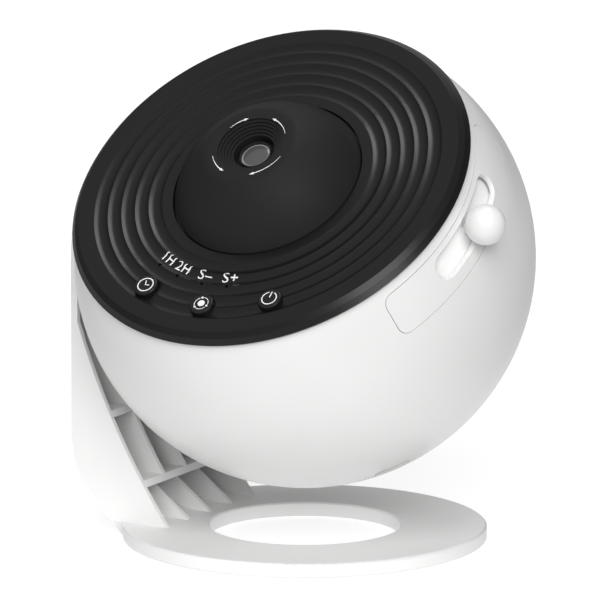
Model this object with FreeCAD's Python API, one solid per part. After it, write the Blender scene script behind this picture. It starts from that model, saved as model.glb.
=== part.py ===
"""Home planetarium projector: a ball-shaped head that tilts on a one-sided arm.

All lengths are millimetres.  The stand's frame has its origin at the centre of the ring's hole on the
ring's underside, +Z up, the arm on -X and the head's face turned towards -Y.  The head is drawn in its
own frame, with its origin at the ball's centre, +Z out of the lens and +X along the tilt axis, and
`in_head` then tilts it and lifts it into place.
"""
import os

import FreeCAD, Part

from math import acos, asin, atan, cos, degrees, pi, radians, sin, sqrt, tan

from FreeCAD import Vector

# ---------------------------------------------------------------- fits
RUN_GAP = 0.06            # radial gap of a shaft or ring that turns or slides in its bearing
FACE_GAP = 0.05           # axial gap between faces that turn on each other
SEAM_GAP = 0.2            # visible seam round a cover or cap
PASS_GAP = 0.4            # a moving piece passing a fixed one without touching

# ---------------------------------------------------------------- the ball
BALL_R = 75.0
SHELL_WALL = 2.5
RIM_POLAR = 63.0          # the open mouth, in degrees from the optical axis
BALL_LIFT = 18.2          # underside of the stand's ring to the lowest point of the ball
HEAD_TILT = 39.3          # how far the lens leans forward from straight up
MOUTH_LIP = 0.25          # how far the mouth's inner lip stands in from the wall's top edge
MOUTH_LIP_DEPTH = 2.55

BALL_INNER_R = BALL_R - SHELL_WALL
RIM_Z = BALL_R * cos(radians(RIM_POLAR))
RIM_R = BALL_R * sin(radians(RIM_POLAR))
MOUTH_R = sqrt(BALL_INNER_R ** 2 - RIM_Z ** 2) - MOUTH_LIP

# ---------------------------------------------------------------- the front panel
PANEL_RISE = 4.25         # panel face above the ball's rim
PANEL_WALL = 2.4
PANEL_OVERHANG = 0.9      # lip past the ball's rim
PANEL_LIP = 1.05          # height of the widest circle above the rim
PANEL_UNDERCUT = 0.8
PANEL_SETBACK = 1.43      # the side wall leans in by this
PANEL_SIDE = 1.7          # and rises by this
PANEL_BEVEL = 1.7         # width of the bevel up to the face
FACE_LAND = 3.6           # plain face between the dome and the first scallop
RIM_LAND = 5.3            # least plain face between the last scallop and the bevel
SCALLOP_PITCH = 4.66
SCALLOP_DEPTH = 0.7
SKIRT_WALL = 2.0
SKIRT_DEPTH = 4.45        # how far the skirt reaches down inside the ball
HOOK_ANGLES = (60, 120, 240, 300)
HOOK_SPREAD = 4.0

PANEL_Z = RIM_Z + PANEL_RISE
PANEL_UNDER_Z = PANEL_Z - PANEL_WALL
LIP_R = RIM_R + PANEL_OVERHANG
LIP_Z = RIM_Z + PANEL_LIP
FACE_R = LIP_R - PANEL_SETBACK - PANEL_BEVEL
SKIRT_R = MOUTH_R - 0.15
SKIRT_BORE = SKIRT_R - SKIRT_WALL
SKIRT_Z = RIM_Z - SKIRT_DEPTH
SWEEP_R = sqrt(LIP_R ** 2 + LIP_Z ** 2)     # the panel's lip is the head's widest reach

# ---------------------------------------------------------------- the dome over the lens
DOME_R = 31.5             # where the dome leaves the panel
DOME_RISE = 17.0
DOME_CAP_R = 15.5         # flat cap
DOME_CAP_ROUND = 5.0      # rounding of the cap's outer edge
DOME_WALL = 2.0
DOME_RIM = 1.7            # upright edge below the panel's face
DOME_SEAM = 0.7           # dark gap between dome and panel
FUNNEL_R = 11.2
THROAT_R = 6.9
FUNNEL_DEPTH = 3.5
FUNNEL_STEPS = 5
THROAT_DEPTH = 1.8
CAP_THICKNESS = 3.1
SOCKET_DEPTH = 6.0        # tube that holds the lens barrel
SOCKET_WALL = 2.0
DOME_SKIRT_R = 29.4
DOME_SKIRT_DEPTH = 8.8    # below the panel's face
LUG_ANGLES = (0, 120, 240)
LUG_SPREAD = 8.0
LUG_REACH = 1.85
LUG_HEIGHT = 2.0
LUG_LIFT = 1.5            # above the skirt's foot
TWIST = 30.0              # turn from locked to free

PANEL_HOLE_R = DOME_R + DOME_SEAM
SCALLOP_START = PANEL_HOLE_R + FACE_LAND
SCALLOP_COUNT = int((FACE_R - RIM_LAND - SCALLOP_START) / SCALLOP_PITCH)
DOME_TOP_Z = PANEL_Z + DOME_RISE
# The dome is part of a sphere through its edge and the rim of its flat cap.
DOME_CENTRE_Z = (PANEL_Z + DOME_TOP_Z) / 2 - (DOME_R ** 2 - DOME_CAP_R ** 2) / (2 * DOME_RISE)
DOME_SPHERE_R = sqrt(DOME_R ** 2 + (PANEL_Z - DOME_CENTRE_Z) ** 2)
THROAT_TOP_Z = DOME_TOP_Z - FUNNEL_DEPTH
THROAT_Z = THROAT_TOP_Z - THROAT_DEPTH
DOME_EDGE_Z = PANEL_Z - DOME_RIM
DOME_FOOT_Z = PANEL_Z - DOME_SKIRT_DEPTH
LUG_Z = DOME_FOOT_Z + LUG_LIFT

# ---------------------------------------------------------------- lenses
BARREL_R = 9.0
BARREL_WALL = 1.4
BARREL_LENGTH = 21.5
BARREL_FACE = 1.5         # plate round the nose
NOSE_R = 5.4
NOSE_WALL = 0.5
NOSE_LENGTH = 2.4
FRONT_LENS_FLANGE = 1.6
REAR_LENS_EDGE = 1.6
REAR_LENS_BULGE = 1.4
LENS_RING = 2.0           # height of the retaining ring
LENS_RING_WALL = 1.3

BARREL_TOP_Z = THROAT_Z
BARREL_FOOT_Z = BARREL_TOP_Z - BARREL_LENGTH
BARREL_BORE = BARREL_R - BARREL_WALL
NOSE_FOOT_Z = BARREL_TOP_Z - 2.0
LENS_SHELF_Z = NOSE_FOOT_Z - BARREL_FACE

# ---------------------------------------------------------------- inner frame and focus ring
FOCUS_RING_R = 40.3
FOCUS_RING_WALL = 3.0
FOCUS_RING_HEIGHT = 10.2
FRAME_WALL = 2.3
FRAME_FLOOR = 2.0
FRAME_DEPTH = 26.0        # panel face to the underside of the frame's floor
FRAME_HOLE_R = 29.5
BAYONET_FLANGE = 2.4
BAYONET_WALL = 1.55
EAR_ANGLES = (30, 150, 210, 330)
EAR_R = 4.0
EAR_OFFSET = 3.85         # screw circle outside the frame's wall
EAR_THICKNESS = 3.0
SCREW_R = 1.25
SCREW_HEAD_R = 2.4
SCREW_HEAD = 1.6
RETAINER_HEIGHT = 1.5
RETAINER_WALL = 2.2

FRAME_BORE = FOCUS_RING_R + RUN_GAP
FRAME_R = FRAME_BORE + FRAME_WALL
FRAME_Z = PANEL_Z - FRAME_DEPTH
FRAME_FLOOR_Z = FRAME_Z + FRAME_FLOOR
FRAME_TOP_Z = PANEL_UNDER_Z - BAYONET_FLANGE
EAR_CIRCLE = FRAME_R + EAR_OFFSET
FOCUS_RING_Z = FRAME_FLOOR_Z + FACE_GAP
FOCUS_RING_TOP_Z = FOCUS_RING_Z + FOCUS_RING_HEIGHT
FOCUS_BORE = FOCUS_RING_R - FOCUS_RING_WALL

# ---------------------------------------------------------------- focus lever, knob and cover plate
FOCUS_SWING = 12.0        # either way from the middle
FOCUS_LIFT = 1.5          # stage travel either way
LEVER_POLAR = 70.5
LEVER_WIDTH = 8.0
LEVER_HEIGHT = 3.0
LEVER_DROP = 2.55         # middle of the lever below the focus ring's top
LEVER_END = 8.0           # height of the block that holds the knob's stem
STEM_R = 2.0
STEM_GRIP = 7.0           # stem length held in the lever
KNOB_R = 6.6
KNOB_PROUD = 5.9          # centre of the knob outside the ball's surface
SLOT_HALF_ANGLE = 13.5
SLOT_WIDTH = 8.0
SLOT_ROUND = 1.2          # the slot's outer edges are rolled over
PLATE_THICKNESS = 1.5
PLATE_POLAR = (65.5, 77.0)
PLATE_HALF_ANGLE = 34.0
PLATE_CORNER = 3.6
SHUTTER_WALL = 1.2
SHUTTER_DROP = 0.3        # gap under the shell
SHUTTER_POLAR = (66.6, 75.4)
PIN_R = 1.5
PIN_ANGLES = (60, 180, 300)
PIN_SLACK = 0.15
PIN_LENGTH = 6.0

LEVER_Z = FOCUS_RING_TOP_Z - LEVER_DROP
KNOB_CENTRE = BALL_R + KNOB_PROUD
SHUTTER_R = BALL_INNER_R - SHUTTER_DROP
SHUTTER_HALF_ANGLE = SLOT_HALF_ANGLE + FOCUS_SWING + degrees(SLOT_WIDTH / 2 / BALL_R) + 4.0

# ---------------------------------------------------------------- film stage and light engine
STAGE_GAP = 0.4           # to the focus ring's bore
STAGE_PLATE = 2.0
STAGE_RIM = 4.5
STAGE_RIM_WALL = 6.9
STAGE_DROP = 16.8         # panel face to the stage's top
STAGE_HOLE_R = 12.0
TRACK_HEIGHT = 0.75
TRACK_WALL = 3.4
COLLAR_R = 22.54
COLLAR_WALL = 2.0
COLLAR_HEIGHT = 2.85
ROD_R = 1.5
ROD_CIRCLE = 32.5
ROD_ANGLES = (0, 120, 240)
ROD_LENGTH = 13.0
CLIP_HEIGHT = 0.7
CLIP_OVERLAP = 1.5
TOOTH_MODULE = 0.8
TOOTH_PRESSURE = 25.0
WHEEL_TEETH = 70
PINION_TEETH = 9
BACKLASH = 0.16
TOOTH_HEIGHT = 2.6
DISC_R = 25.5
DISC_THICKNESS = 0.8
DISC_SEAT = 2.9           # seat above the carrier's underside
DISC_RIM = 1.2
MOTOR_ANGLE = 90.0
MOTOR_R = 5.0
MOTOR_LENGTH = 16.0
SHAFT_R = 1.0
SHAFT_GRIP = 5.5
HOLDER_R = 14.2
HOLDER_WALL = 2.0
HOLDER_LENGTH = 12.0
HOLDER_FLANGE = 4.3
HOLDER_PLATE = 1.5
CONDENSER_EDGE = 2.0
CONDENSER_BULGE = 3.5
CONDENSER_SEAT = 4.5      # seat above the holder's foot
BOARD_THICKNESS = 1.5
EMITTER_R = 3.0
SINK_R = 17.0
SINK_BASE = 2.5
FIN_HEIGHT = 12.0
FIN_THICKNESS = 1.2
FIN_PITCH = 4.0
FIN_COUNT = 7
SMALL_SCREW_R = 0.8

STAGE_Z = PANEL_Z - STAGE_DROP
STAGE_R = FOCUS_BORE - STAGE_GAP
PIN_Z = STAGE_Z - STAGE_RIM / 2
WHEEL_PITCH_R = TOOTH_MODULE * WHEEL_TEETH / 2
PINION_PITCH_R = TOOTH_MODULE * PINION_TEETH / 2
WHEEL_ROOT_R = WHEEL_PITCH_R - 1.25 * TOOTH_MODULE
MOTOR_CIRCLE = WHEEL_PITCH_R + PINION_PITCH_R
CARRIER_Z = STAGE_Z + TRACK_HEIGHT + FACE_GAP
COLLAR_TOP_Z = STAGE_Z + COLLAR_HEIGHT
HOLDER_TOP_Z = STAGE_Z - STAGE_PLATE
HOLDER_Z = HOLDER_TOP_Z - HOLDER_LENGTH
LED_BOARD_Z = HOLDER_Z - BOARD_THICKNESS
SINK_TOP_Z = LED_BOARD_Z

# ---------------------------------------------------------------- buttons, lights and control board
BUTTON_INSET = 7.6        # key's centre to the inside of the panel's skirt
BUTTON_ANGLES = (-114.7, -89.6, -64.7)
BUTTON_R = 3.95
BUTTON_PROUD = 1.25
BUTTON_ROUND = 0.5
BUTTON_FLANGE = 1.0
BUTTON_FLANGE_HEIGHT = 1.4
BUTTON_TRAVEL = 1.0
BUTTON_STEM_R = 1.5
BUTTON_STEM = 0.6
SWITCH_SIDE = 6.0
SWITCH_HEIGHT = 3.5
PLUNGER_R = 1.7
PLUNGER_HEIGHT = 1.0
CONTROL_BOARD = 1.6
BOARD_GAP = 0.6           # board to the inner frame and to the panel's skirt
BOARD_SPREAD = 42.0       # either side of the middle button
BOARD_POST_R = 2.5
BOARD_POSTS = (-126.0, -102.5, -54.0)
POST_INSET = 3.6          # post's centre to the inside of the panel's skirt
BOARD_SCREW_BITE = 4.5    # screw length in its post
LIGHT_ANGLES = (-119.5, -108.3, -95.1, -83.5)
LIGHT_R = 0.6
LIGHT_FLANGE_R = 1.1
LIGHT_SINK = 0.9          # top of a light pin below the panel's face

BUTTON_CIRCLE = SKIRT_BORE - BUTTON_INSET
BOARD_POST_CIRCLE = SKIRT_BORE - POST_INSET
LIGHT_TO_KEY = 8.89       # from the circle of the lights out to the circle of the keys
LIGHT_CIRCLE = BUTTON_CIRCLE - LIGHT_TO_KEY
BUTTON_FLANGE_TOP_Z = PANEL_UNDER_Z - FACE_GAP
BUTTON_FOOT_Z = BUTTON_FLANGE_TOP_Z - BUTTON_FLANGE_HEIGHT - BUTTON_STEM
BOARD_TOP_Z = BUTTON_FOOT_Z - BUTTON_TRAVEL - 0.1 - PLUNGER_HEIGHT - SWITCH_HEIGHT

# ---------------------------------------------------------------- power inlet
INLET_POLAR = 127.0
INLET_AZIMUTH = -51.7
INLET_WIDTH = 12.0
INLET_HEIGHT = 6.0
INLET_SINK = 1.2          # socket face below the ball's surface
INLET_DEPTH = 7.0
INLET_COLLAR = 2.0        # the flange stands out by this each side
INLET_FLANGE = 1.6
SOCKET_OPEN_WIDTH = 9.0
SOCKET_OPEN_HEIGHT = 3.2
TONGUE_WIDTH = 6.6
TONGUE_HEIGHT = 0.7
INLET_BOARD = (20.0, 12.0, 1.6)

# ---------------------------------------------------------------- tilt pivot
BOSS_R = 15.0
BOSS_GAP = 0.5
PIVOT_SINK = 3.0          # head's bearing face inside the ball's surface
PIVOT_WALL = 4.0          # head wall at the pivot
FRICTION_WASHER = 0.45
FRICTION_WASHER_R = 13.0
BOLT_R = 4.0
BOLT_HEAD_R = 8.0
BOLT_HEAD = 1.6
ARM_SEAT = 2.9            # arm thickness under the bolt's head
THRUST_WASHER = 1.0
THRUST_WASHER_R = 9.0
SPRING_WASHER = 1.5
SPRING_WASHER_R = 7.0
NUT_FLATS = 13.0
NUT_HEIGHT = 4.0
BOLT_TAIL = 1.5
CAP_R = 10.0
CAP_FACE = 1.2
CAP_BULGE = 0.4
CAP_SINK = 1.0            # inner face of the cap inside the arm's skin

PIVOT_FACE = BALL_R - PIVOT_SINK
BOLT_SEAT = PIVOT_FACE + FACE_GAP + FRICTION_WASHER + ARM_SEAT

# ---------------------------------------------------------------- stand
RING_R = 59.4
RING_HOLE_R = 31.2
RING_THICKNESS = 4.6
RING_EDGE = 0.8
HOLE_EDGE = 0.5
ARM_WIDTH = 57.0
ARM_R = 67.6              # the arm's outer skin is turned at this radius about its own upright axis
ARM_WALL = 2.2
ARM_SWEEP_R = 35.5        # the skin's turn in towards the ring
ARM_SWEEP_Z = 32.4
FLOOR_FLAT_X = 40.0       # the cells' floors run level to here from the ring's centre
FLOOR_SWEEP_R = 23.0      # then sweep up to 45 degrees
ARM_CROWN_DROP = 7.0      # centre of the arm's round top below the pivot
ARM_EDGE_GAP = 2.7        # free edge of the cheeks behind the pivot's bearing face
ARM_KINK_DROP = 23.8      # the upright free edge ends this far below the pivot
ARM_TOE_X = 35.6          # where the cheeks run out on the ring
ARM_BOW = 2.8             # the cheeks' free edges bow out by this
RIB_THICKNESS = 1.8
RIB_COUNT = 3
RIB_SLOPE = 37.5          # the lower ribs run down to the toe at this angle
SHELF_THICKNESS = 2.0
SHELF_HEIGHTS = (17.9, 39.9)
BALL_GAP = 0.8            # arm to ball, and arm to the panel's lip
FLARE_R = 10.0
PAD_R = 5.0
PAD_DEPTH = 1.0
PAD_PROUD = 0.6
PAD_CIRCLE = 45.3
PAD_ANGLES = (45, 135, 225, 315)

CENTRE_Z = BALL_LIFT + BALL_R
ARM_SKIN_X = BOLT_SEAT + BOLT_HEAD + CAP_SINK        # the arm's outermost line, on -X
ARM_AXIS_X = ARM_R - ARM_SKIN_X
ARM_EDGE_X = PIVOT_FACE - ARM_EDGE_GAP
ARM_KINK_Z = CENTRE_Z - ARM_KINK_DROP


# ================================================================ shared shapes
def outline(start, *steps):
    """Closed flat face in the XZ plane.  A step (x, z) is a line, (xm, zm, x, z) an arc through xm, zm."""
    edges = []
    here = Vector(start[0], 0, start[1])
    first = here
    for step in list(steps) + [start]:
        there = Vector(step[-2], 0, step[-1])
        if there.distanceToPoint(here) < 1e-7:
            continue
        if len(step) == 4:
            middle = Vector(step[0], 0, step[1])
            edges.append(Part.Arc(here, middle, there).toShape())
        else:
            edges.append(Part.LineSegment(here, there).toShape())
        here = there
    assert here.distanceToPoint(first) < 1e-6
    return Part.Face(Part.Wire(edges))


def turned(face, spread=360.0, middle=0.0):
    """Turn an XZ face about Z, as a full ring or as a sector either side of the middle angle."""
    if spread >= 360.0:
        return face.revolve(Vector(), Vector(0, 0, 1), 360)
    sector = face.revolve(Vector(), Vector(0, 0, 1), spread)
    sector.rotate(Vector(), Vector(0, 0, 1), middle - spread / 2)
    return sector


def ring(inner, outer, low, high, spread=360.0, middle=0.0):
    return turned(outline((inner, low), (outer, low), (outer, high), (inner, high)), spread, middle)


def rod(radius, low, high, x=0.0, y=0.0):
    return Part.makeCylinder(radius, high - low, Vector(x, y, low))


def on_circle(circle, angle):
    return circle * cos(radians(angle)), circle * sin(radians(angle))


def round_box(width, height, low, high):
    """Upright bar with half-round ends, long side along Y."""
    straight = width - height
    bar = Part.makeBox(height, straight, high - low, Vector(-height / 2, -straight / 2, low))
    ends = [rod(height / 2, low, high, 0, side * straight / 2) for side in (-1, 1)]
    return bar.multiFuse(ends).removeSplitter()


def aimed(shape, polar, azimuth):
    """Swing a shape drawn along +Z round the ball's centre to a polar angle and an azimuth."""
    shape = shape.copy()
    shape.rotate(Vector(), Vector(0, 1, 0), polar)
    shape.rotate(Vector(), Vector(0, 0, 1), azimuth)
    return shape


def along_x(shape):
    """Lay a shape drawn along +Z from the ball's centre down along -X, the pivot's side."""
    return aimed(shape, 90, 180)


def ball_band(inner, outer, polar, half_angle, middle=0.0):
    """Piece of spherical wall between two polar angles, either side of the middle azimuth."""
    low, high = (radians(p) for p in polar)
    mid = (low + high) / 2
    face = outline(
        (outer * sin(low), outer * cos(low)),
        (outer * sin(mid), outer * cos(mid), outer * sin(high), outer * cos(high)),
        (inner * sin(high), inner * cos(high)),
        (inner * sin(mid), inner * cos(mid), inner * sin(low), inner * cos(low)))
    return turned(face, 2 * half_angle, middle)


def fused(first, *others):
    return first.multiFuse([shape for shape in others]).removeSplitter()


def cut(shape, *tools):
    return shape.cut(list(tools))


def bulge(radius, low, rise):
    """Outline step from a lens's edge up a true spherical face to the axis."""
    sphere = (radius ** 2 + rise ** 2) / (2 * rise)
    half = asin(radius / sphere) / 2
    crest = low + rise
    return sphere * sin(half), crest - sphere + sphere * cos(half), 0, crest


def in_head(shape):
    """From the head's own frame to the stand's: tilt about the pivot, then lift."""
    shape = shape.copy()
    shape.rotate(Vector(), Vector(1, 0, 0), HEAD_TILT)
    shape.translate(Vector(0, 0, CENTRE_Z))
    return shape


# ================================================================ stand
def arm_skin(inset):
    """Solid inside the arm's outer skin, less an inset, turned about the arm's own upright axis."""
    radius = ARM_R - inset
    sweep = ARM_SWEEP_R - inset
    centre_r = ARM_R - ARM_SWEEP_R
    deep = sweep * sin(radians(22.5)), sweep * cos(radians(22.5))
    knee = centre_r + sweep * sin(radians(45)), ARM_SWEEP_Z - sweep * sin(radians(45))
    top = CENTRE_Z + ARM_WIDTH
    face = outline(
        (0, 0), (knee[0] - knee[1], 0), knee,
        (centre_r + deep[1], ARM_SWEEP_Z - deep[0], radius, ARM_SWEEP_Z), (radius, top), (0, top))
    solid = turned(face)
    solid.translate(Vector(ARM_AXIS_X, 0, 0))
    return solid


def y_prism(face, width):
    """Prism along Y, centred, from an XZ face."""
    prism = face.extrude(Vector(0, width, 0))
    prism.translate(Vector(0, -width / 2, 0))
    return prism


def above_floor():
    """Prism of the space above the cells' floor: level, then a sweep up to a 45 degree slope."""
    centre_z = RING_THICKNESS + FLOOR_SWEEP_R
    deep = FLOOR_SWEEP_R * sin(radians(22.5)), FLOOR_SWEEP_R * cos(radians(22.5))
    bend = FLOOR_SWEEP_R * sin(radians(45))
    far = 2 * ARM_R
    top = centre_z - bend + far - FLOOR_FLAT_X - bend
    face = outline(
        (0, RING_THICKNESS), (-FLOOR_FLAT_X, RING_THICKNESS),
        (-FLOOR_FLAT_X - deep[0], centre_z - deep[1], -FLOOR_FLAT_X - bend, centre_z - bend),
        (-far, top), (-far, top + ARM_WIDTH), (0, top + ARM_WIDTH))
    return y_prism(face, ARM_WIDTH)


def crown(inset):
    """Prism along X with the arm's front outline: straight sides and a round top."""
    half = ARM_WIDTH / 2 - inset
    top = CENTRE_Z - ARM_CROWN_DROP
    sides = Part.makeBox(2 * ARM_R, 2 * half, top, Vector(-2 * ARM_R, -half, 0))
    head = Part.makeCylinder(half, 2 * ARM_R, Vector(0, 0, top), Vector(-1, 0, 0))
    return fused(sides, head)


def arm_side_area():
    """Prism along Y of the arm seen from the side: everything outside the cheeks' free edges."""
    chord_x = (ARM_EDGE_X + ARM_TOE_X) / 2
    chord_z = (ARM_KINK_Z + RING_THICKNESS) / 2
    far = 2 * ARM_R
    top = CENTRE_Z + ARM_WIDTH
    lean = ARM_EDGE_X - ARM_TOE_X, ARM_KINK_Z - RING_THICKNESS
    length = sqrt(lean[0] ** 2 + lean[1] ** 2)
    bowed = chord_x + ARM_BOW * lean[1] / length, chord_z - ARM_BOW * lean[0] / length
    face = outline(
        (-far, 0), (-far, top), (-ARM_EDGE_X, top), (-ARM_EDGE_X, ARM_KINK_Z),
        (-bowed[0], bowed[1], -ARM_TOE_X, RING_THICKNESS), (-ARM_TOE_X, 0))
    return y_prism(face, ARM_WIDTH)


def arm_cells():
    """The open cells between cheeks, upright ribs and shelves."""
    pitch = (ARM_WIDTH - RIB_THICKNESS) / (RIB_COUNT + 1)
    levels = [RING_THICKNESS]
    for height in SHELF_HEIGHTS:
        levels += [height - SHELF_THICKNESS / 2, height + SHELF_THICKNESS / 2]
    levels.append(CENTRE_Z + ARM_WIDTH)
    boxes = []
    for column in range(RIB_COUNT + 1):
        left = -ARM_WIDTH / 2 + RIB_THICKNESS + column * pitch
        for low, high in zip(levels[::2], levels[1::2]):
            size = 2 * ARM_R, pitch - RIB_THICKNESS, high - low
            boxes.append(Part.makeBox(*size, Vector(-2 * ARM_R, left, low)))
    grid = boxes[0].multiFuse(boxes[1:])
    return grid.common(arm_skin(ARM_WALL)).common(above_floor()).common(crown(RIB_THICKNESS))


def toe_cut():
    """Room before the lower ribs, which run straight down to the toe from behind the lower shelf."""
    under = SHELF_HEIGHTS[0] - SHELF_THICKNESS / 2
    back = ARM_TOE_X + (under - RING_THICKNESS) / tan(radians(RIB_SLOPE))
    face = outline((0, RING_THICKNESS), (-ARM_TOE_X, RING_THICKNESS), (-back, under), (0, under))
    return y_prism(face, ARM_WIDTH - 2 * RIB_THICKNESS)


def head_clearance():
    """Space the head sweeps as it tilts: the ball, and further out the panel's lip."""
    ball = Part.makeSphere(BALL_R + BALL_GAP)
    lip = Part.makeSphere(SWEEP_R + BALL_GAP)
    hub = Part.makeCylinder(LIP_Z - 2 * BALL_GAP, 4 * BALL_R, Vector(-2 * BALL_R, 0, 0), Vector(1, 0, 0))
    space = ball.fuse(lip.cut(hub))
    space.translate(Vector(0, 0, CENTRE_Z))
    return space


def ring_plate():
    """Flat ring, with a flare where it meets the arm's corners."""
    disc = rod(RING_R, 0, RING_THICKNESS)
    disc = disc.makeFillet(RING_EDGE, [edge for edge in disc.Edges if edge.Curve.TypeId == "Part::GeomCircle"])
    half = ARM_WIDTH / 2
    centre_y = half + FLARE_R
    centre_x = sqrt((RING_R + FLARE_R) ** 2 - centre_y ** 2)
    touch = RING_R / (RING_R + FLARE_R)
    flare = []
    for side in (-1, 1):
        line_end = Vector(-centre_x, side * half, 0)
        ring_end = Vector(-centre_x * touch, side * centre_y * touch, 0)
        inside = Vector(-centre_x * touch, 0, 0)
        lean = (line_end + ring_end) * 0.5 - Vector(-centre_x, side * centre_y, 0)
        middle = Vector(-centre_x, side * centre_y, 0) + lean * (FLARE_R / lean.Length)
        corner = Vector(-centre_x, 0, 0)
        wire = Part.Wire([
            Part.Arc(line_end, middle, ring_end).toShape(),
            Part.LineSegment(ring_end, inside).toShape(),
            Part.LineSegment(inside, corner).toShape(),
            Part.LineSegment(corner, line_end).toShape()])
        flare.append(Part.Face(wire).extrude(Vector(0, 0, RING_THICKNESS)).common(arm_skin(0)))
    return fused(disc, *flare)


def stand_frame():
    arm = arm_skin(0).common(crown(0)).common(arm_side_area())
    arm = cut(arm, arm_cells(), toe_cut(), head_clearance())
    body = fused(ring_plate(), arm)
    hole = rod(RING_HOLE_R, -1, RING_THICKNESS + 1)
    edge = RING_THICKNESS - HOLE_EDGE
    bevel = turned(outline((0, edge), (RING_HOLE_R, edge), (RING_HOLE_R + 2 * HOLE_EDGE, edge + 2 * HOLE_EDGE),
                           (0, edge + 2 * HOLE_EDGE)))
    pads = [rod(PAD_R, -1, PAD_DEPTH, *on_circle(PAD_CIRCLE, angle)) for angle in PAD_ANGLES]
    body = cut(body, hole, bevel, *pads)
    seat = BOLT_SEAT - ARM_SEAT
    boss = along_x(rod(BOSS_R, seat, ARM_SKIN_X - ARM_WALL / 2))
    recess = along_x(rod(CAP_R, BOLT_SEAT, ARM_SKIN_X + 5))
    bore = along_x(rod(BOLT_R, seat - 1, ARM_SKIN_X + 5))
    for piece in (boss, recess, bore):
        piece.translate(Vector(0, 0, CENTRE_Z))
    return fused(body, boss).cut([recess, bore])


def foot_pads():
    return Part.makeCompound([rod(PAD_R, -PAD_PROUD, PAD_DEPTH, *on_circle(PAD_CIRCLE, angle))
                              for angle in PAD_ANGLES])


# ================================================================ tilt pivot, along -X from the ball's centre
def pivot_bolt():
    tail = PIVOT_FACE - PIVOT_WALL - FACE_GAP - THRUST_WASHER - SPRING_WASHER - NUT_HEIGHT - BOLT_TAIL
    return fused(rod(BOLT_R, tail, BOLT_SEAT), rod(BOLT_HEAD_R, BOLT_SEAT, BOLT_SEAT + BOLT_HEAD))


def friction_washer():
    return ring(BOLT_R, FRICTION_WASHER_R, PIVOT_FACE + FACE_GAP, PIVOT_FACE + FACE_GAP + FRICTION_WASHER)


def thrust_washer():
    top = PIVOT_FACE - PIVOT_WALL - FACE_GAP
    return ring(BOLT_R, THRUST_WASHER_R, top - THRUST_WASHER, top)


def spring_washer():
    """Split spring ring: one gap, as on a lock washer."""
    top = PIVOT_FACE - PIVOT_WALL - FACE_GAP - THRUST_WASHER
    return ring(BOLT_R, SPRING_WASHER_R, top - SPRING_WASHER, top, 345.0)


def pivot_nut():
    top = PIVOT_FACE - PIVOT_WALL - FACE_GAP - THRUST_WASHER - SPRING_WASHER
    corner = NUT_FLATS / 2 / cos(radians(30))
    corners = [Vector(*on_circle(corner, 60 * step), top - NUT_HEIGHT) for step in range(7)]
    hexagon = Part.Face(Part.makePolygon(corners)).extrude(Vector(0, 0, NUT_HEIGHT))
    chamfer = turned(outline((0, top - NUT_HEIGHT), (NUT_FLATS / 2, top - NUT_HEIGHT),
                             (corner, top - NUT_HEIGHT / 2), (corner, top), (0, top)))
    return hexagon.common(chamfer).cut(rod(BOLT_R, top - NUT_HEIGHT - 1, top + 1))


def pivot_cap():
    """Snap cap over the bolt's head, a shallow cup with a domed face."""
    radius = CAP_R - SEAM_GAP
    inside = BOLT_SEAT + BOLT_HEAD
    shoulder = inside + CAP_FACE - CAP_BULGE
    dome = outline((0, BOLT_SEAT), (radius, BOLT_SEAT), (radius, shoulder), bulge(radius, shoulder, CAP_BULGE))
    return turned(dome).cut(rod(BOLT_HEAD_R, BOLT_SEAT - 1, inside))


# ================================================================ ball
def head_shell():
    mouth = RIM_Z - MOUTH_LIP_DEPTH
    inside_r = sqrt(BALL_INNER_R ** 2 - mouth ** 2)
    face = outline(
        (0, -BALL_R), (BALL_R, 0, RIM_R, RIM_Z), (MOUTH_R, RIM_Z), (MOUTH_R, mouth), (inside_r, mouth),
        (BALL_INNER_R, 0, 0, -BALL_INNER_R))
    shell = turned(face)
    inner_boss = along_x(rod(BOSS_R + BOSS_GAP + 2, PIVOT_FACE - PIVOT_WALL, BALL_INNER_R))
    pad = 2 * INLET_COLLAR + 1
    inlet_boss = aimed(round_box(INLET_WIDTH + pad, INLET_HEIGHT + pad, inlet_seat(), BALL_INNER_R + 1),
                       INLET_POLAR, INLET_AZIMUTH)
    shell = fused(shell, inner_boss, inlet_boss)
    pocket = ball_band(BALL_R - PLATE_THICKNESS, BALL_R + 1, widened(PLATE_POLAR, seam_angle()),
                       PLATE_HALF_ANGLE + seam_angle())
    window = ball_band(BALL_INNER_R - 2, BALL_R, (LEVER_POLAR - slot_polar() - 0.6, LEVER_POLAR + slot_polar() + 0.6),
                       SLOT_HALF_ANGLE + slot_polar() + 2)
    recess = along_x(rod(BOSS_R + BOSS_GAP, PIVOT_FACE, BALL_R + 1))
    bore = along_x(rod(BOLT_R + RUN_GAP, PIVOT_FACE - PIVOT_WALL - 1, BALL_R + 1))
    inlet = aimed(round_box(INLET_WIDTH, INLET_HEIGHT, inlet_seat() - 1, BALL_R + 1), INLET_POLAR, INLET_AZIMUTH)
    return cut(shell, rounded_band(pocket, PLATE_CORNER + SEAM_GAP), window, recess, bore, inlet)


def seam_angle():
    return degrees(SEAM_GAP / BALL_R)


def slot_polar():
    return degrees(SLOT_WIDTH / 2 / BALL_R)


def widened(pair, margin):
    return pair[0] - margin, pair[1] + margin


def rounded_band(band, radius):
    """Round the four corner edges of a ball_band: those that run straight through its wall."""
    corners = [edge for edge in band.Edges if edge.Curve.TypeId == "Part::GeomLine"]
    return band.makeFillet(radius, corners)


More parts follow.
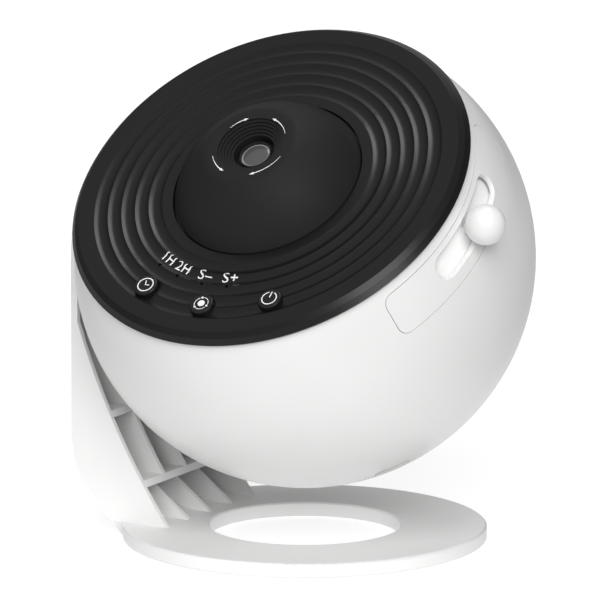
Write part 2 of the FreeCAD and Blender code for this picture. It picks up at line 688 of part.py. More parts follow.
def slot_section():
    """Half of the slot's section, upright over the ball's centre, with its outer edge rolled over."""
    half = SLOT_WIDTH / 2
    low = BALL_R - PLATE_THICKNESS - 1
    flare = BALL_R - SLOT_ROUND
    rolled = half + SLOT_ROUND * (1 - sqrt(0.5)), flare + SLOT_ROUND * sqrt(0.5)
    lip = half + SLOT_ROUND
    return outline((0, low), (half, low), (half, flare), (*rolled, lip, BALL_R), (lip, BALL_R + 1), (0, BALL_R + 1))


def focus_cover_plate():
    plate = rounded_band(ball_band(BALL_R - PLATE_THICKNESS, BALL_R, PLATE_POLAR, PLATE_HALF_ANGLE), PLATE_CORNER)
    ends = [aimed(turned(slot_section()), LEVER_POLAR, side * SLOT_HALF_ANGLE) for side in (-1, 1)]
    halves = slot_section(), slot_section().mirror(Vector(), Vector(1, 0, 0))
    channel = [turned(aimed(half, LEVER_POLAR, 0), 2 * SLOT_HALF_ANGLE) for half in halves]
    return cut(plate, *channel, *ends)


# ================================================================ front panel
def front_panel():
    under_r = LIP_R - PANEL_UNDERCUT
    side_r = LIP_R - PANEL_SETBACK
    side_z = LIP_Z + PANEL_SIDE
    last = SCALLOP_START + SCALLOP_COUNT * SCALLOP_PITCH
    steps = [
        (SKIRT_BORE, PANEL_UNDER_Z), (SKIRT_BORE, SKIRT_Z), (SKIRT_R, SKIRT_Z),
        (SKIRT_R, RIM_Z), (under_r, RIM_Z), (LIP_R, LIP_Z), (side_r, side_z),
        (FACE_R, PANEL_Z), (last, PANEL_Z)]
    for groove in reversed(range(SCALLOP_COUNT)):
        start = SCALLOP_START + groove * SCALLOP_PITCH
        steps.append((start + SCALLOP_PITCH / 2, PANEL_Z - SCALLOP_DEPTH, start, PANEL_Z))
    steps.append((PANEL_HOLE_R, PANEL_Z))
    panel = turned(outline((PANEL_HOLE_R, PANEL_UNDER_Z), *steps))
    hook_top = RIM_Z - MOUTH_LIP_DEPTH - FACE_GAP
    hook_r = sqrt(BALL_INNER_R ** 2 - hook_top ** 2) - 0.3
    hooks = [ring(SKIRT_R - SKIRT_WALL / 2, hook_r, SKIRT_Z, hook_top, 2 * HOOK_SPREAD, angle)
             for angle in HOOK_ANGLES]
    screw_posts = [rod(EAR_R - 0.4, FRAME_TOP_Z, PANEL_UNDER_Z, *on_circle(EAR_CIRCLE, angle))
                   for angle in EAR_ANGLES]
    board_posts = [rod(BOARD_POST_R, BOARD_TOP_Z, PANEL_UNDER_Z, *on_circle(BOARD_POST_CIRCLE, angle))
                   for angle in BOARD_POSTS]
    panel = fused(panel, *hooks, *screw_posts, *board_posts)
    screw_holes = [rod(SCREW_R, FRAME_TOP_Z - 1, PANEL_UNDER_Z + 1, *on_circle(EAR_CIRCLE, angle))
                   for angle in EAR_ANGLES]
    bite = BOARD_SCREW_BITE + 0.5
    board_holes = [rod(SMALL_SCREW_R, BOARD_TOP_Z - 1, BOARD_TOP_Z + bite, *on_circle(BOARD_POST_CIRCLE, angle))
                   for angle in BOARD_POSTS]
    button_holes = [rod(BUTTON_R + SEAM_GAP, PANEL_UNDER_Z - 1, PANEL_Z + 1, *on_circle(BUTTON_CIRCLE, angle))
                    for angle in BUTTON_ANGLES]
    light_holes = [rod(LIGHT_R, PANEL_UNDER_Z - 1, PANEL_Z + 1, *on_circle(LIGHT_CIRCLE, angle))
                   for angle in LIGHT_ANGLES]
    return cut(panel, *screw_holes, *board_holes, *button_holes, *light_holes)


# ================================================================ dome and lenses
def dome_cover():
    inner_sphere = DOME_SPHERE_R - DOME_WALL
    inner_skirt = DOME_SKIRT_R - DOME_WALL
    underside = DOME_TOP_Z - CAP_THICKNESS
    flat_r = sqrt(inner_sphere ** 2 - (underside - DOME_CENTRE_Z) ** 2)
    spring_z = DOME_CENTRE_Z + sqrt(inner_sphere ** 2 - inner_skirt ** 2)
    socket_r = BARREL_R + FACE_GAP
    middle = radians(45)
    steps = [
        (DOME_SKIRT_R, DOME_FOOT_Z), (DOME_SKIRT_R, DOME_EDGE_Z), (DOME_R, DOME_EDGE_Z), (DOME_R, PANEL_Z),
        (DOME_SPHERE_R * sin(middle), DOME_CENTRE_Z + DOME_SPHERE_R * cos(middle), DOME_CAP_R, DOME_TOP_Z),
        (FUNNEL_R, DOME_TOP_Z)]
    for step in range(1, FUNNEL_STEPS + 1):
        tread = FUNNEL_R - (step - 1) * (FUNNEL_R - THROAT_R) / FUNNEL_STEPS
        level = DOME_TOP_Z - step * FUNNEL_DEPTH / FUNNEL_STEPS
        steps.append((tread, level))
        steps.append((tread - (FUNNEL_R - THROAT_R) / FUNNEL_STEPS, level))
    steps += [
        (THROAT_R, THROAT_Z), (socket_r, THROAT_Z), (socket_r, THROAT_Z - SOCKET_DEPTH),
        (socket_r + SOCKET_WALL, THROAT_Z - SOCKET_DEPTH), (socket_r + SOCKET_WALL, underside),
        (flat_r, underside),
        (inner_sphere * sin(middle), DOME_CENTRE_Z + inner_sphere * cos(middle), inner_skirt, spring_z)]
    dome = turned(outline((inner_skirt, DOME_FOOT_Z), *steps))
    cap_edge = [edge for edge in dome.Edges if edge.Curve.TypeId == "Part::GeomCircle"
                and abs(edge.Curve.Radius - DOME_CAP_R) < 1e-6 and abs(edge.Curve.Center.z - DOME_TOP_Z) < 1e-6]
    dome = dome.makeFillet(DOME_CAP_ROUND, cap_edge)
    lugs = [ring(DOME_SKIRT_R - DOME_WALL / 2, DOME_SKIRT_R + LUG_REACH, LUG_Z, LUG_Z + LUG_HEIGHT,
                 2 * LUG_SPREAD, angle) for angle in LUG_ANGLES]
    return fused(dome, *lugs)


def bayonet_ring():
    """Ring under the panel whose L-shaped grooves take the dome's three lugs."""
    bore = DOME_SKIRT_R + 0.2
    groove = DOME_SKIRT_R + LUG_REACH + 0.3
    collar = PANEL_HOLE_R - 0.15
    outer = groove + BAYONET_WALL
    foot = DOME_FOOT_Z + 0.5
    body = turned(outline(
        (bore, foot), (outer, foot), (outer, FRAME_TOP_Z), (FRAME_R, FRAME_TOP_Z), (FRAME_R, PANEL_UNDER_Z),
        (collar, PANEL_UNDER_Z), (collar, DOME_EDGE_Z - 0.1), (bore, DOME_EDGE_Z - 0.1)))
    grooves = []
    for angle in LUG_ANGLES:
        run = TWIST + 2 * LUG_SPREAD + 2
        grooves.append(ring(bore - 1, groove, LUG_Z - 0.1, LUG_Z + LUG_HEIGHT + 0.1, run, angle + TWIST / 2))
        grooves.append(ring(bore - 1, groove, LUG_Z, DOME_EDGE_Z, 2 * LUG_SPREAD + 2, angle + TWIST))
    return cut(body, *grooves)


def lens_barrel():
    bore_top = LENS_SHELF_Z
    face = outline(
        (BARREL_BORE, BARREL_FOOT_Z), (BARREL_R, BARREL_FOOT_Z), (BARREL_R, BARREL_TOP_Z),
        (THROAT_R + 0.1, BARREL_TOP_Z), (THROAT_R + 0.1, NOSE_FOOT_Z), (NOSE_R, NOSE_FOOT_Z),
        (NOSE_R, NOSE_FOOT_Z + NOSE_LENGTH), (NOSE_R - NOSE_WALL, NOSE_FOOT_Z + NOSE_LENGTH),
        (NOSE_R - NOSE_WALL, bore_top), (BARREL_BORE, bore_top))
    return turned(face)


def front_lens():
    """Moulded lens: a flange behind the barrel's shelf and a pupil that fills the nose."""
    pupil = NOSE_R - NOSE_WALL
    crest = NOSE_FOOT_Z + NOSE_LENGTH
    face = outline(
        (0, LENS_SHELF_Z - FRONT_LENS_FLANGE), (BARREL_BORE, LENS_SHELF_Z - FRONT_LENS_FLANGE),
        (BARREL_BORE, LENS_SHELF_Z), (pupil, LENS_SHELF_Z), (pupil, crest - 0.8), bulge(pupil, crest - 0.8, 0.8))
    return turned(face)


def rear_lens_z():
    return BARREL_FOOT_Z + LENS_RING + REAR_LENS_BULGE


def rear_lens():
    low = rear_lens_z()
    high = low + REAR_LENS_EDGE
    middle = (low + high) / 2
    upper = turned(outline((0, middle), (BARREL_BORE, middle), (BARREL_BORE, high),
                           bulge(BARREL_BORE, high, REAR_LENS_BULGE)))
    lower = upper.copy()
    lower.rotate(Vector(0, 0, middle), Vector(1, 0, 0), 180)
    return fused(upper, lower)


def lens_spacer():
    low = rear_lens_z() + REAR_LENS_EDGE
    return ring(BARREL_BORE - LENS_RING_WALL, BARREL_BORE, low, LENS_SHELF_Z - FRONT_LENS_FLANGE).cut(rear_lens())


def lens_retainer():
    low = BARREL_FOOT_Z
    return ring(BARREL_BORE - LENS_RING_WALL, BARREL_BORE, low, rear_lens_z()).cut(rear_lens())


# ================================================================ inner frame
def motor_place():
    return on_circle(MOTOR_CIRCLE, MOTOR_ANGLE)


def inner_frame():
    cup = turned(outline(
        (FRAME_HOLE_R, FRAME_Z), (FRAME_R, FRAME_Z), (FRAME_R, FRAME_TOP_Z), (FRAME_BORE, FRAME_TOP_Z),
        (FRAME_BORE, FRAME_FLOOR_Z), (FRAME_HOLE_R, FRAME_FLOOR_Z)))
    ears = []
    for angle in EAR_ANGLES:
        ear = rod(EAR_R, FRAME_TOP_Z - EAR_THICKNESS, FRAME_TOP_Z, EAR_CIRCLE)
        web = Part.makeBox(EAR_OFFSET + FRAME_WALL / 2, 2 * EAR_R, EAR_THICKNESS,
                           Vector(FRAME_R - FRAME_WALL / 2, -EAR_R, FRAME_TOP_Z - EAR_THICKNESS))
        both = ear.fuse(web)
        both.rotate(Vector(), Vector(0, 0, 1), angle)
        ears.append(both)
    frame = fused(cup, *ears)
    holes = [rod(SCREW_R + 0.15, FRAME_Z, FRAME_TOP_Z + 1, *on_circle(EAR_CIRCLE, angle)) for angle in EAR_ANGLES]
    rod_holes = [rod(ROD_R, FRAME_Z - 1, FRAME_FLOOR_Z + 1, *on_circle(ROD_CIRCLE, angle)) for angle in ROD_ANGLES]
    motor_notch = rod(MOTOR_R + PASS_GAP, FRAME_Z - 1, FRAME_FLOOR_Z + 1, *motor_place())
    swing = FOCUS_SWING + degrees(asin(LEVER_WIDTH / 2 / FRAME_BORE)) + 1.5
    window = ring(FRAME_BORE - 1, FRAME_R + 1, LEVER_Z - LEVER_HEIGHT / 2 - PASS_GAP, FRAME_TOP_Z + 1, 2 * swing)
    return cut(frame, *holes, *rod_holes, motor_notch, window)


def frame_screws():
    low = FRAME_TOP_Z - EAR_THICKNESS
    return Part.makeCompound([screw(SCREW_R, SCREW_HEAD_R, SCREW_HEAD, low, PANEL_UNDER_Z + 0.8,
                                    *on_circle(EAR_CIRCLE, angle)) for angle in EAR_ANGLES])


def screw(shank_r, head_r, head, seat, tip, x, y):
    """Screw driven upwards: head below the seat, shank up to the tip."""
    return fused(rod(head_r, seat - head, seat, x, y), rod(shank_r, seat, tip, x, y))


def guide_rods():
    return Part.makeCompound([rod(ROD_R, FRAME_Z, FRAME_Z + ROD_LENGTH, *on_circle(ROD_CIRCLE, angle))
                              for angle in ROD_ANGLES])


def focus_retainer():
    low = FOCUS_RING_TOP_Z + FACE_GAP
    return ring(FRAME_BORE - RETAINER_WALL, FRAME_BORE, low, low + RETAINER_HEIGHT)


# ================================================================ focus ring, shutter and knob
def stem_hole():
    return aimed(rod(STEM_R, SHUTTER_R - SHUTTER_WALL - STEM_GRIP, BALL_R), LEVER_POLAR, 0)


def focus_ring():
    body = ring(FOCUS_BORE, FOCUS_RING_R, FOCUS_RING_Z, FOCUS_RING_TOP_Z)
    reach = SHUTTER_R
    bar = Part.makeBox(reach - FOCUS_RING_R + FOCUS_RING_WALL / 2, LEVER_WIDTH, LEVER_HEIGHT,
                       Vector(FOCUS_RING_R - FOCUS_RING_WALL / 2, -LEVER_WIDTH / 2, LEVER_Z - LEVER_HEIGHT / 2))
    grip = STEM_GRIP * sin(radians(LEVER_POLAR)) + 1.5
    foot = (SHUTTER_R - SHUTTER_WALL) * sin(radians(LEVER_POLAR)) - grip
    block_z = (SHUTTER_R - SHUTTER_WALL - STEM_GRIP / 2) * cos(radians(LEVER_POLAR))
    block = Part.makeBox(reach - foot, LEVER_WIDTH, LEVER_END, Vector(foot, -LEVER_WIDTH / 2, block_z - LEVER_END / 2))
    lever = fused(bar, block).common(Part.makeSphere(SHUTTER_R - SHUTTER_WALL))
    slots = [cam_slot(angle) for angle in PIN_ANGLES]
    return cut(fused(body, lever), stem_hole(), *slots)


def cam_slot(angle):
    """Sloping slot for a stage pin: the ring's turn lifts the pin."""
    half_run = (FOCUS_RING_R - FOCUS_RING_WALL / 2) * sin(radians(FOCUS_SWING))
    slope = degrees(atan(FOCUS_LIFT / half_run))
    radius = PIN_R + PIN_SLACK
    length = 2 * sqrt(half_run ** 2 + FOCUS_LIFT ** 2) + 1.2
    bar = Part.makeBox(2 * FOCUS_RING_WALL, length, 2 * radius,
                       Vector(FOCUS_BORE - FOCUS_RING_WALL / 2, -length / 2, -radius))
    ends = [Part.makeCylinder(radius, 2 * FOCUS_RING_WALL, Vector(FOCUS_BORE - FOCUS_RING_WALL / 2, side * length / 2, 0),
                              Vector(1, 0, 0)) for side in (-1, 1)]
    slot = bar.multiFuse(ends).removeSplitter()
    slot.rotate(Vector(), Vector(1, 0, 0), -slope)
    slot.translate(Vector(0, 0, PIN_Z))
    slot.rotate(Vector(), Vector(0, 0, 1), angle)
    return slot


def focus_shutter():
    """Curved shield under the slot that moves with the lever and hides the inside."""
    band = ball_band(SHUTTER_R - SHUTTER_WALL, SHUTTER_R, SHUTTER_POLAR, SHUTTER_HALF_ANGLE)
    return band.cut(stem_hole())


def focus_knob():
    stem = rod(STEM_R, SHUTTER_R - SHUTTER_WALL - STEM_GRIP, KNOB_CENTRE)
    return aimed(fused(Part.makeSphere(KNOB_R, Vector(0, 0, KNOB_CENTRE)), stem), LEVER_POLAR, 0)


# ================================================================ film stage
def film_stage():
    plate_z = STAGE_Z - STAGE_PLATE
    rim_z = STAGE_Z - STAGE_RIM
    rim_r = STAGE_R - STAGE_RIM_WALL
    track_r = COLLAR_R + TRACK_WALL
    body = turned(outline(
        (STAGE_HOLE_R, plate_z), (rim_r, plate_z), (rim_r, rim_z), (STAGE_R, rim_z), (STAGE_R, STAGE_Z),
        (track_r, STAGE_Z), (track_r, STAGE_Z + TRACK_HEIGHT), (COLLAR_R, STAGE_Z + TRACK_HEIGHT),
        (COLLAR_R, COLLAR_TOP_Z), (COLLAR_R - COLLAR_WALL, COLLAR_TOP_Z), (COLLAR_R - COLLAR_WALL, STAGE_Z),
        (STAGE_HOLE_R, STAGE_Z)))
    rods = [rod(ROD_R + RUN_GAP, rim_z - 1, STAGE_Z + 1, *on_circle(ROD_CIRCLE, angle)) for angle in ROD_ANGLES]
    shaft = rod(SHAFT_R + PASS_GAP, rim_z - 1, STAGE_Z + 1, *motor_place())
    screws = [rod(SMALL_SCREW_R, plate_z - 1, STAGE_Z - 0.5, *on_circle(holder_screw_circle(), angle))
              for angle in ROD_ANGLES]
    return cut(body, *[cam_pin(angle) for angle in PIN_ANGLES], *rods, shaft, *screws)


def cam_pin(angle):
    x, y = on_circle(FOCUS_RING_R - PASS_GAP - PIN_LENGTH, angle)
    towards = Vector(*on_circle(1, angle), 0)
    return Part.makeCylinder(PIN_R, PIN_LENGTH, Vector(x, y, PIN_Z), towards)


def cam_pins():
    return Part.makeCompound([cam_pin(angle) for angle in PIN_ANGLES])


def carrier_clip():
    """Flat ring on the stage's collar that keeps the disc carrier down."""
    return ring(COLLAR_R - COLLAR_WALL, COLLAR_R + CLIP_OVERLAP, COLLAR_TOP_Z, COLLAR_TOP_Z + CLIP_HEIGHT)


def gear_blank(teeth, height, low, phase):
    """Spur gear with involute flanks, tooth gap centred on the phase angle; with an odd number of teeth
    a tooth stands opposite."""
    pitch_r = TOOTH_MODULE * teeth / 2
    base_r = pitch_r * cos(radians(TOOTH_PRESSURE))
    tip_r = pitch_r + TOOTH_MODULE
    root_r = pitch_r - 1.25 * TOOTH_MODULE
    half = pi / (2 * teeth) - BACKLASH / (4 * pitch_r)

    def involute(radius):
        if radius <= base_r:
            return 0.0
        slope = acos(base_r / radius)
        return tan(slope) - slope

    start_r = max(root_r, base_r)
    radii = [start_r + (tip_r - start_r) * step / 3 for step in range(4)]
    flank = [(radius, half + involute(pitch_r) - involute(radius)) for radius in radii]
    if root_r < base_r:
        flank.insert(0, (root_r, flank[0][1]))
    points = []
    for tooth in range(teeth):
        centre = radians(phase) + 2 * pi * (tooth + 0.5) / teeth
        points += [(radius, centre - angle) for radius, angle in flank]
        points += [(radius, centre + angle) for radius, angle in reversed(flank)]
    corners = [Vector(radius * cos(angle), radius * sin(angle), low) for radius, angle in points]
    corners.append(corners[0])
    return Part.Face(Part.makePolygon(corners)).extrude(Vector(0, 0, height))


def disc_carrier():
    """Toothed ring that carries the film disc on a seat and turns round the stage's collar."""
    bore = COLLAR_R + RUN_GAP
    seat_z = CARRIER_Z + DISC_SEAT
    shelf = COLLAR_TOP_Z - FACE_GAP
    clip_r = COLLAR_R + CLIP_OVERLAP + PASS_GAP
    inner = turned(outline(
        (bore, CARRIER_Z), (WHEEL_ROOT_R, CARRIER_Z), (WHEEL_ROOT_R, seat_z + DISC_RIM),
        (DISC_R + 0.1, seat_z + DISC_RIM), (DISC_R + 0.1, seat_z), (clip_r, seat_z), (clip_r, shelf), (bore, shelf)))
    teeth = gear_blank(WHEEL_TEETH, TOOTH_HEIGHT, CARRIER_Z, MOTOR_ANGLE)
    teeth = teeth.cut(rod(DISC_R, CARRIER_Z - 1, CARRIER_Z + TOOTH_HEIGHT + 1))
    return fused(inner, teeth)


def film_disc():
    seat_z = CARRIER_Z + DISC_SEAT
    return rod(DISC_R, seat_z, seat_z + DISC_THICKNESS)


def motor_pinion():
    gear = gear_blank(PINION_TEETH, TOOTH_HEIGHT, CARRIER_Z, MOTOR_ANGLE)
    gear = gear.cut(rod(SHAFT_R, CARRIER_Z - 1, CARRIER_Z + TOOTH_HEIGHT + 1))
    gear.translate(Vector(*motor_place(), 0))
    return gear


def motor_shaft():
    top = STAGE_Z - STAGE_RIM
    return rod(SHAFT_R, top - SHAFT_GRIP, CARRIER_Z + TOOTH_HEIGHT + 0.4, *motor_place())


def spin_motor():
    top = STAGE_Z - STAGE_RIM
    can = rod(MOTOR_R, top - MOTOR_LENGTH, top, *motor_place())
    tail = rod(MOTOR_R / 2, top - MOTOR_LENGTH - 1, top - MOTOR_LENGTH, *motor_place())
    bearing = rod(SHAFT_R + RUN_GAP, top - SHAFT_GRIP - FACE_GAP, top + 1, *motor_place())
    return fused(can, tail).cut(bearing)


# ================================================================ light engine
def holder_screw_circle():
    return HOLDER_R + HOLDER_FLANGE / 2


def condenser_holder():
    bore = HOLDER_R - HOLDER_WALL
    seat = HOLDER_Z + CONDENSER_SEAT
    body = turned(outline(
        (bore, HOLDER_Z), (HOLDER_R, HOLDER_Z), (HOLDER_R, HOLDER_TOP_Z - HOLDER_PLATE),
        (HOLDER_R + HOLDER_FLANGE, HOLDER_TOP_Z - HOLDER_PLATE), (HOLDER_R + HOLDER_FLANGE, HOLDER_TOP_Z),
        (bore, HOLDER_TOP_Z), (bore, seat), (bore - 1, seat), (bore - 1, seat - 1), (bore, seat - 1)))
    holes = [rod(SMALL_SCREW_R + 0.1, HOLDER_Z, HOLDER_TOP_Z + 1, *on_circle(holder_screw_circle(), angle))
             for angle in ROD_ANGLES]
    pilots = [rod(sink_screw_r(), HOLDER_Z - 1, HOLDER_Z + 3, *place) for place in sink_screw_places()]
    return cut(body, *holes, *pilots)


def holder_screws():
    seat = HOLDER_TOP_Z - HOLDER_PLATE
    return Part.makeCompound([screw(SMALL_SCREW_R, 1.6, 1.1, seat, STAGE_Z - 0.6,
                                    *on_circle(holder_screw_circle(), angle)) for angle in ROD_ANGLES])


def condenser_lens():
    edge = HOLDER_R - HOLDER_WALL
    low = HOLDER_Z + CONDENSER_SEAT
    high = low + CONDENSER_EDGE
    return turned(outline((0, low), (edge, low), (edge, high), bulge(edge, high, CONDENSER_BULGE)))


def sink_screw_r():
    return HOLDER_WALL * 0.35


def sink_screw_places():
    """Two screws in the holder's wall, between two of the fins."""
    middle = HOLDER_R - HOLDER_WALL / 2
    offset = FIN_PITCH / 2
    across = sqrt(middle ** 2 - offset ** 2)
    return (across, offset), (-across, -offset)


def led_board():
    board = rod(HOLDER_R, LED_BOARD_Z, HOLDER_Z)
    return cut(board, *[rod(sink_screw_r(), LED_BOARD_Z - 1, HOLDER_Z + 1, *place) for place in sink_screw_places()])


def led_emitter():
    base = rod(EMITTER_R, HOLDER_Z, HOLDER_Z + 0.8)
    dome = Part.makeSphere(EMITTER_R * 0.75, Vector(0, 0, HOLDER_Z + 0.8))
    return fused(base, dome.common(rod(EMITTER_R, HOLDER_Z + 0.4, HOLDER_Z + 5)))


def heat_sink():
    base = rod(SINK_R, SINK_TOP_Z - SINK_BASE, SINK_TOP_Z)
    low = SINK_TOP_Z - SINK_BASE - FIN_HEIGHT
    inside = rod(SINK_R, low, SINK_TOP_Z)
    fins = []
    for fin in range(FIN_COUNT):
        middle = (fin - (FIN_COUNT - 1) / 2) * FIN_PITCH
        slab = Part.makeBox(2 * SINK_R, FIN_THICKNESS, FIN_HEIGHT + SINK_BASE / 2,
                            Vector(-SINK_R, middle - FIN_THICKNESS / 2, low))
        fins.append(slab.common(inside))
    sink = fused(base, *fins)
    return cut(sink, *[rod(sink_screw_r(), low, SINK_TOP_Z + 1, *place) for place in sink_screw_places()])


def sink_screws():
    head = (FIN_PITCH - FIN_THICKNESS) / 2 - 0.1
    seat = SINK_TOP_Z - SINK_BASE
    return Part.makeCompound([screw(sink_screw_r(), head, 1.0, seat, HOLDER_Z + 2.8, *place)
                              for place in sink_screw_places()])


# ================================================================ buttons, lights and control board
def button(angle):
    """Round key: rounded cap, hidden flange that stops under the panel, stem over its switch."""
    x, y = on_circle(BUTTON_CIRCLE, angle)
    top = PANEL_Z + BUTTON_PROUD
    half = BUTTON_ROUND * (1 - sqrt(0.5))
    key = turned(outline(
        (0, BUTTON_FOOT_Z), (BUTTON_STEM_R, BUTTON_FOOT_Z), (BUTTON_STEM_R, BUTTON_FOOT_Z + BUTTON_STEM),
        (BUTTON_R + BUTTON_FLANGE, BUTTON_FOOT_Z + BUTTON_STEM), (BUTTON_R + BUTTON_FLANGE, BUTTON_FLANGE_TOP_Z),
        (BUTTON_R, BUTTON_FLANGE_TOP_Z), (BUTTON_R, top - BUTTON_ROUND),
        (BUTTON_R - half, top - half, BUTTON_R - BUTTON_ROUND, top), (0, top)))
    key.translate(Vector(x, y, 0))
    return key


def button_switches():
    switches = []
    for angle in BUTTON_ANGLES:
        half = SWITCH_SIDE / 2
        can = Part.makeBox(SWITCH_SIDE, SWITCH_SIDE, SWITCH_HEIGHT, Vector(BUTTON_CIRCLE - half, -half, BOARD_TOP_Z))
        low = BOARD_TOP_Z + SWITCH_HEIGHT
        switch = fused(can, rod(PLUNGER_R, low, low + PLUNGER_HEIGHT, BUTTON_CIRCLE))
        switch.rotate(Vector(), Vector(0, 0, 1), angle)
        switches.append(switch)
    return Part.makeCompound(switches)


def control_board():
    under = BOARD_TOP_Z - CONTROL_BOARD
    board = ring(FRAME_R + BOARD_GAP, SKIRT_BORE - BOARD_GAP, under, BOARD_TOP_Z, 2 * BOARD_SPREAD, BUTTON_ANGLES[1])
    holes = [rod(SMALL_SCREW_R + 0.1, under - 1, BOARD_TOP_Z + 1, *on_circle(BOARD_POST_CIRCLE, angle))
             for angle in BOARD_POSTS]
    return cut(board, *holes)


def board_screws():
    seat = BOARD_TOP_Z - CONTROL_BOARD
    return Part.makeCompound([screw(SMALL_SCREW_R, 1.7, 1.2, seat, BOARD_TOP_Z + BOARD_SCREW_BITE,
                                    *on_circle(BOARD_POST_CIRCLE, angle)) for angle in BOARD_POSTS])


def light_pipes():
    """Four clear pins from the board's lamps to the panel's face."""
    pipes = []
    for angle in LIGHT_ANGLES:
        x, y = on_circle(LIGHT_CIRCLE, angle)
        pin = rod(LIGHT_R, BOARD_TOP_Z + 1.0, PANEL_Z - LIGHT_SINK, x, y)
        pipes.append(fused(pin, rod(LIGHT_FLANGE_R, PANEL_UNDER_Z - 1.0, PANEL_UNDER_Z, x, y)))
    return Part.makeCompound(pipes)


def indicator_lamps():
    lamps = []
    for angle in LIGHT_ANGLES:
        lamp = Part.makeBox(0.9, 1.7, 0.8, Vector(LIGHT_CIRCLE - 0.45, -0.85, BOARD_TOP_Z))
        lamp.rotate(Vector(), Vector(0, 0, 1), angle)
        lamps.append(lamp)
    return Part.makeCompound(lamps)


# ================================================================ power inlet
def inlet_face():
    return BALL_R - INLET_SINK


def inlet_seat():
    """Flat inside the shell that the socket's flange rests on, measured along the inlet's own axis."""
    return BALL_INNER_R - 2.0


def power_inlet():
    low = inlet_face() - INLET_DEPTH
    collar = 2 * INLET_COLLAR
    body = fused(
        round_box(INLET_WIDTH, INLET_HEIGHT, low, inlet_face()),
        round_box(INLET_WIDTH + collar, INLET_HEIGHT + collar, inlet_seat() - INLET_FLANGE, inlet_seat()))
    opening = round_box(SOCKET_OPEN_WIDTH, SOCKET_OPEN_HEIGHT, low + 1.5, inlet_face() + 1)
    tongue = Part.makeBox(TONGUE_HEIGHT, TONGUE_WIDTH, INLET_DEPTH - 2.5,
                          Vector(-TONGUE_HEIGHT / 2, -TONGUE_WIDTH / 2, low + 1.0))
    return aimed(fused(body.cut(opening), tongue), INLET_POLAR, INLET_AZIMUTH)


def inlet_board():
    low = inlet_face() - INLET_DEPTH
    width, height, thickness = INLET_BOARD
    board = Part.makeBox(height, width, thickness, Vector(-height / 2, -width / 2, low - thickness))
    return aimed(board, INLET_POLAR, INLET_AZIMUTH)


# ================================================================ every piece by name
TIMER_ANGLE, MODE_ANGLE, POWER_ANGLE = BUTTON_ANGLES


def lifted(shape):
    """Pivot pieces stay with the stand: laid along -X and lifted to the ball's centre."""
    shape = along_x(shape)
    shape.translate(Vector(0, 0, CENTRE_Z))
    return shape


STAND_PIECES = {
    "stand_frame": stand_frame(),
    "foot_pads": foot_pads(),
    "pivot_bolt": lifted(pivot_bolt()),
    "friction_washer": lifted(friction_washer()),
    "thrust_washer": lifted(thrust_washer()),
    "spring_washer": lifted(spring_washer()),
    "pivot_nut": lifted(pivot_nut()),
    "pivot_cap": lifted(pivot_cap()),
}
HEAD_PIECES = {
    "head_shell": head_shell(),
    "front_panel": front_panel(),
    "focus_cover_plate": focus_cover_plate(),
    "inner_frame": inner_frame(),
    "frame_screws": frame_screws(),
    "bayonet_ring": bayonet_ring(),
    "guide_rods": guide_rods(),
    "focus_retainer": focus_retainer(),
    "control_board": control_board(),
    "board_screws": board_screws(),
    "button_switches": button_switches(),
    "light_pipes": light_pipes(),
    "indicator_lamps": indicator_lamps(),
    "power_inlet": power_inlet(),
    "inlet_board": inlet_board(),
    "dome_cover": dome_cover(),
    "lens_barrel": lens_barrel(),
    "front_lens": front_lens(),
    "rear_lens": rear_lens(),
    "lens_spacer": lens_spacer(),
    "lens_retainer": lens_retainer(),
    "focus_ring": focus_ring(),
    "focus_shutter": focus_shutter(),
    "focus_knob": focus_knob(),
    "film_stage": film_stage(),
    "cam_pins": cam_pins(),
    "carrier_clip": carrier_clip(),
    "disc_carrier": disc_carrier(),
    "film_disc": film_disc(),
    "motor_pinion": motor_pinion(),
    "motor_shaft": motor_shaft(),
    "spin_motor": spin_motor(),
    "condenser_holder": condenser_holder(),
    "holder_screws": holder_screws(),
    "condenser_lens": condenser_lens(),
    "led_board": led_board(),
    "led_emitter": led_emitter(),
    "heat_sink": heat_sink(),
    "sink_screws": sink_screws(),
    "timer_button": button(TIMER_ANGLE),
    "mode_button": button(MODE_ANGLE),
    "power_button": button(POWER_ANGLE),
}

os.makedirs("parts", exist_ok=True)
for name, shape in STAND_PIECES.items():
    shape.exportStep(f"parts/{name}.step")
for name, shape in HEAD_PIECES.items():
    in_head(shape).exportStep(f"parts/{name}.step")
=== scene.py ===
from math import cos, radians, sin, sqrt

import bmesh
import bpy
from mathutils import Matrix, Vector


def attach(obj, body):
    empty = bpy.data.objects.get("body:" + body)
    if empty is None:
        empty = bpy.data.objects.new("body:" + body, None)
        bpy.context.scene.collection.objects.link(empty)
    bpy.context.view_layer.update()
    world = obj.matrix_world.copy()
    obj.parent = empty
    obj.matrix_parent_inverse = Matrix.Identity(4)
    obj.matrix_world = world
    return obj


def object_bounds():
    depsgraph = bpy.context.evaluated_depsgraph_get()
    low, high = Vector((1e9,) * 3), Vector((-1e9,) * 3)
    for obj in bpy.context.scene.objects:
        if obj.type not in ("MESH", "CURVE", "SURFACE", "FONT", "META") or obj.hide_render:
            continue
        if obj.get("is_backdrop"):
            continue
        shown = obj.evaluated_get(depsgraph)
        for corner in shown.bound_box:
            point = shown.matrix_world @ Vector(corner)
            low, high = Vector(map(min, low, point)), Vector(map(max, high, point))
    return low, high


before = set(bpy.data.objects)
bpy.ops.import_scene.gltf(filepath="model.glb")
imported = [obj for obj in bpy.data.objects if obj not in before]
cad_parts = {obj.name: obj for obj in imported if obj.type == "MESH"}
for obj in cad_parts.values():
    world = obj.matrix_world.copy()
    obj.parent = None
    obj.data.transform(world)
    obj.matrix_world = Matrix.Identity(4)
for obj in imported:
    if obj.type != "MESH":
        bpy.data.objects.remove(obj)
cad_low, cad_high = (list(corner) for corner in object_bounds())

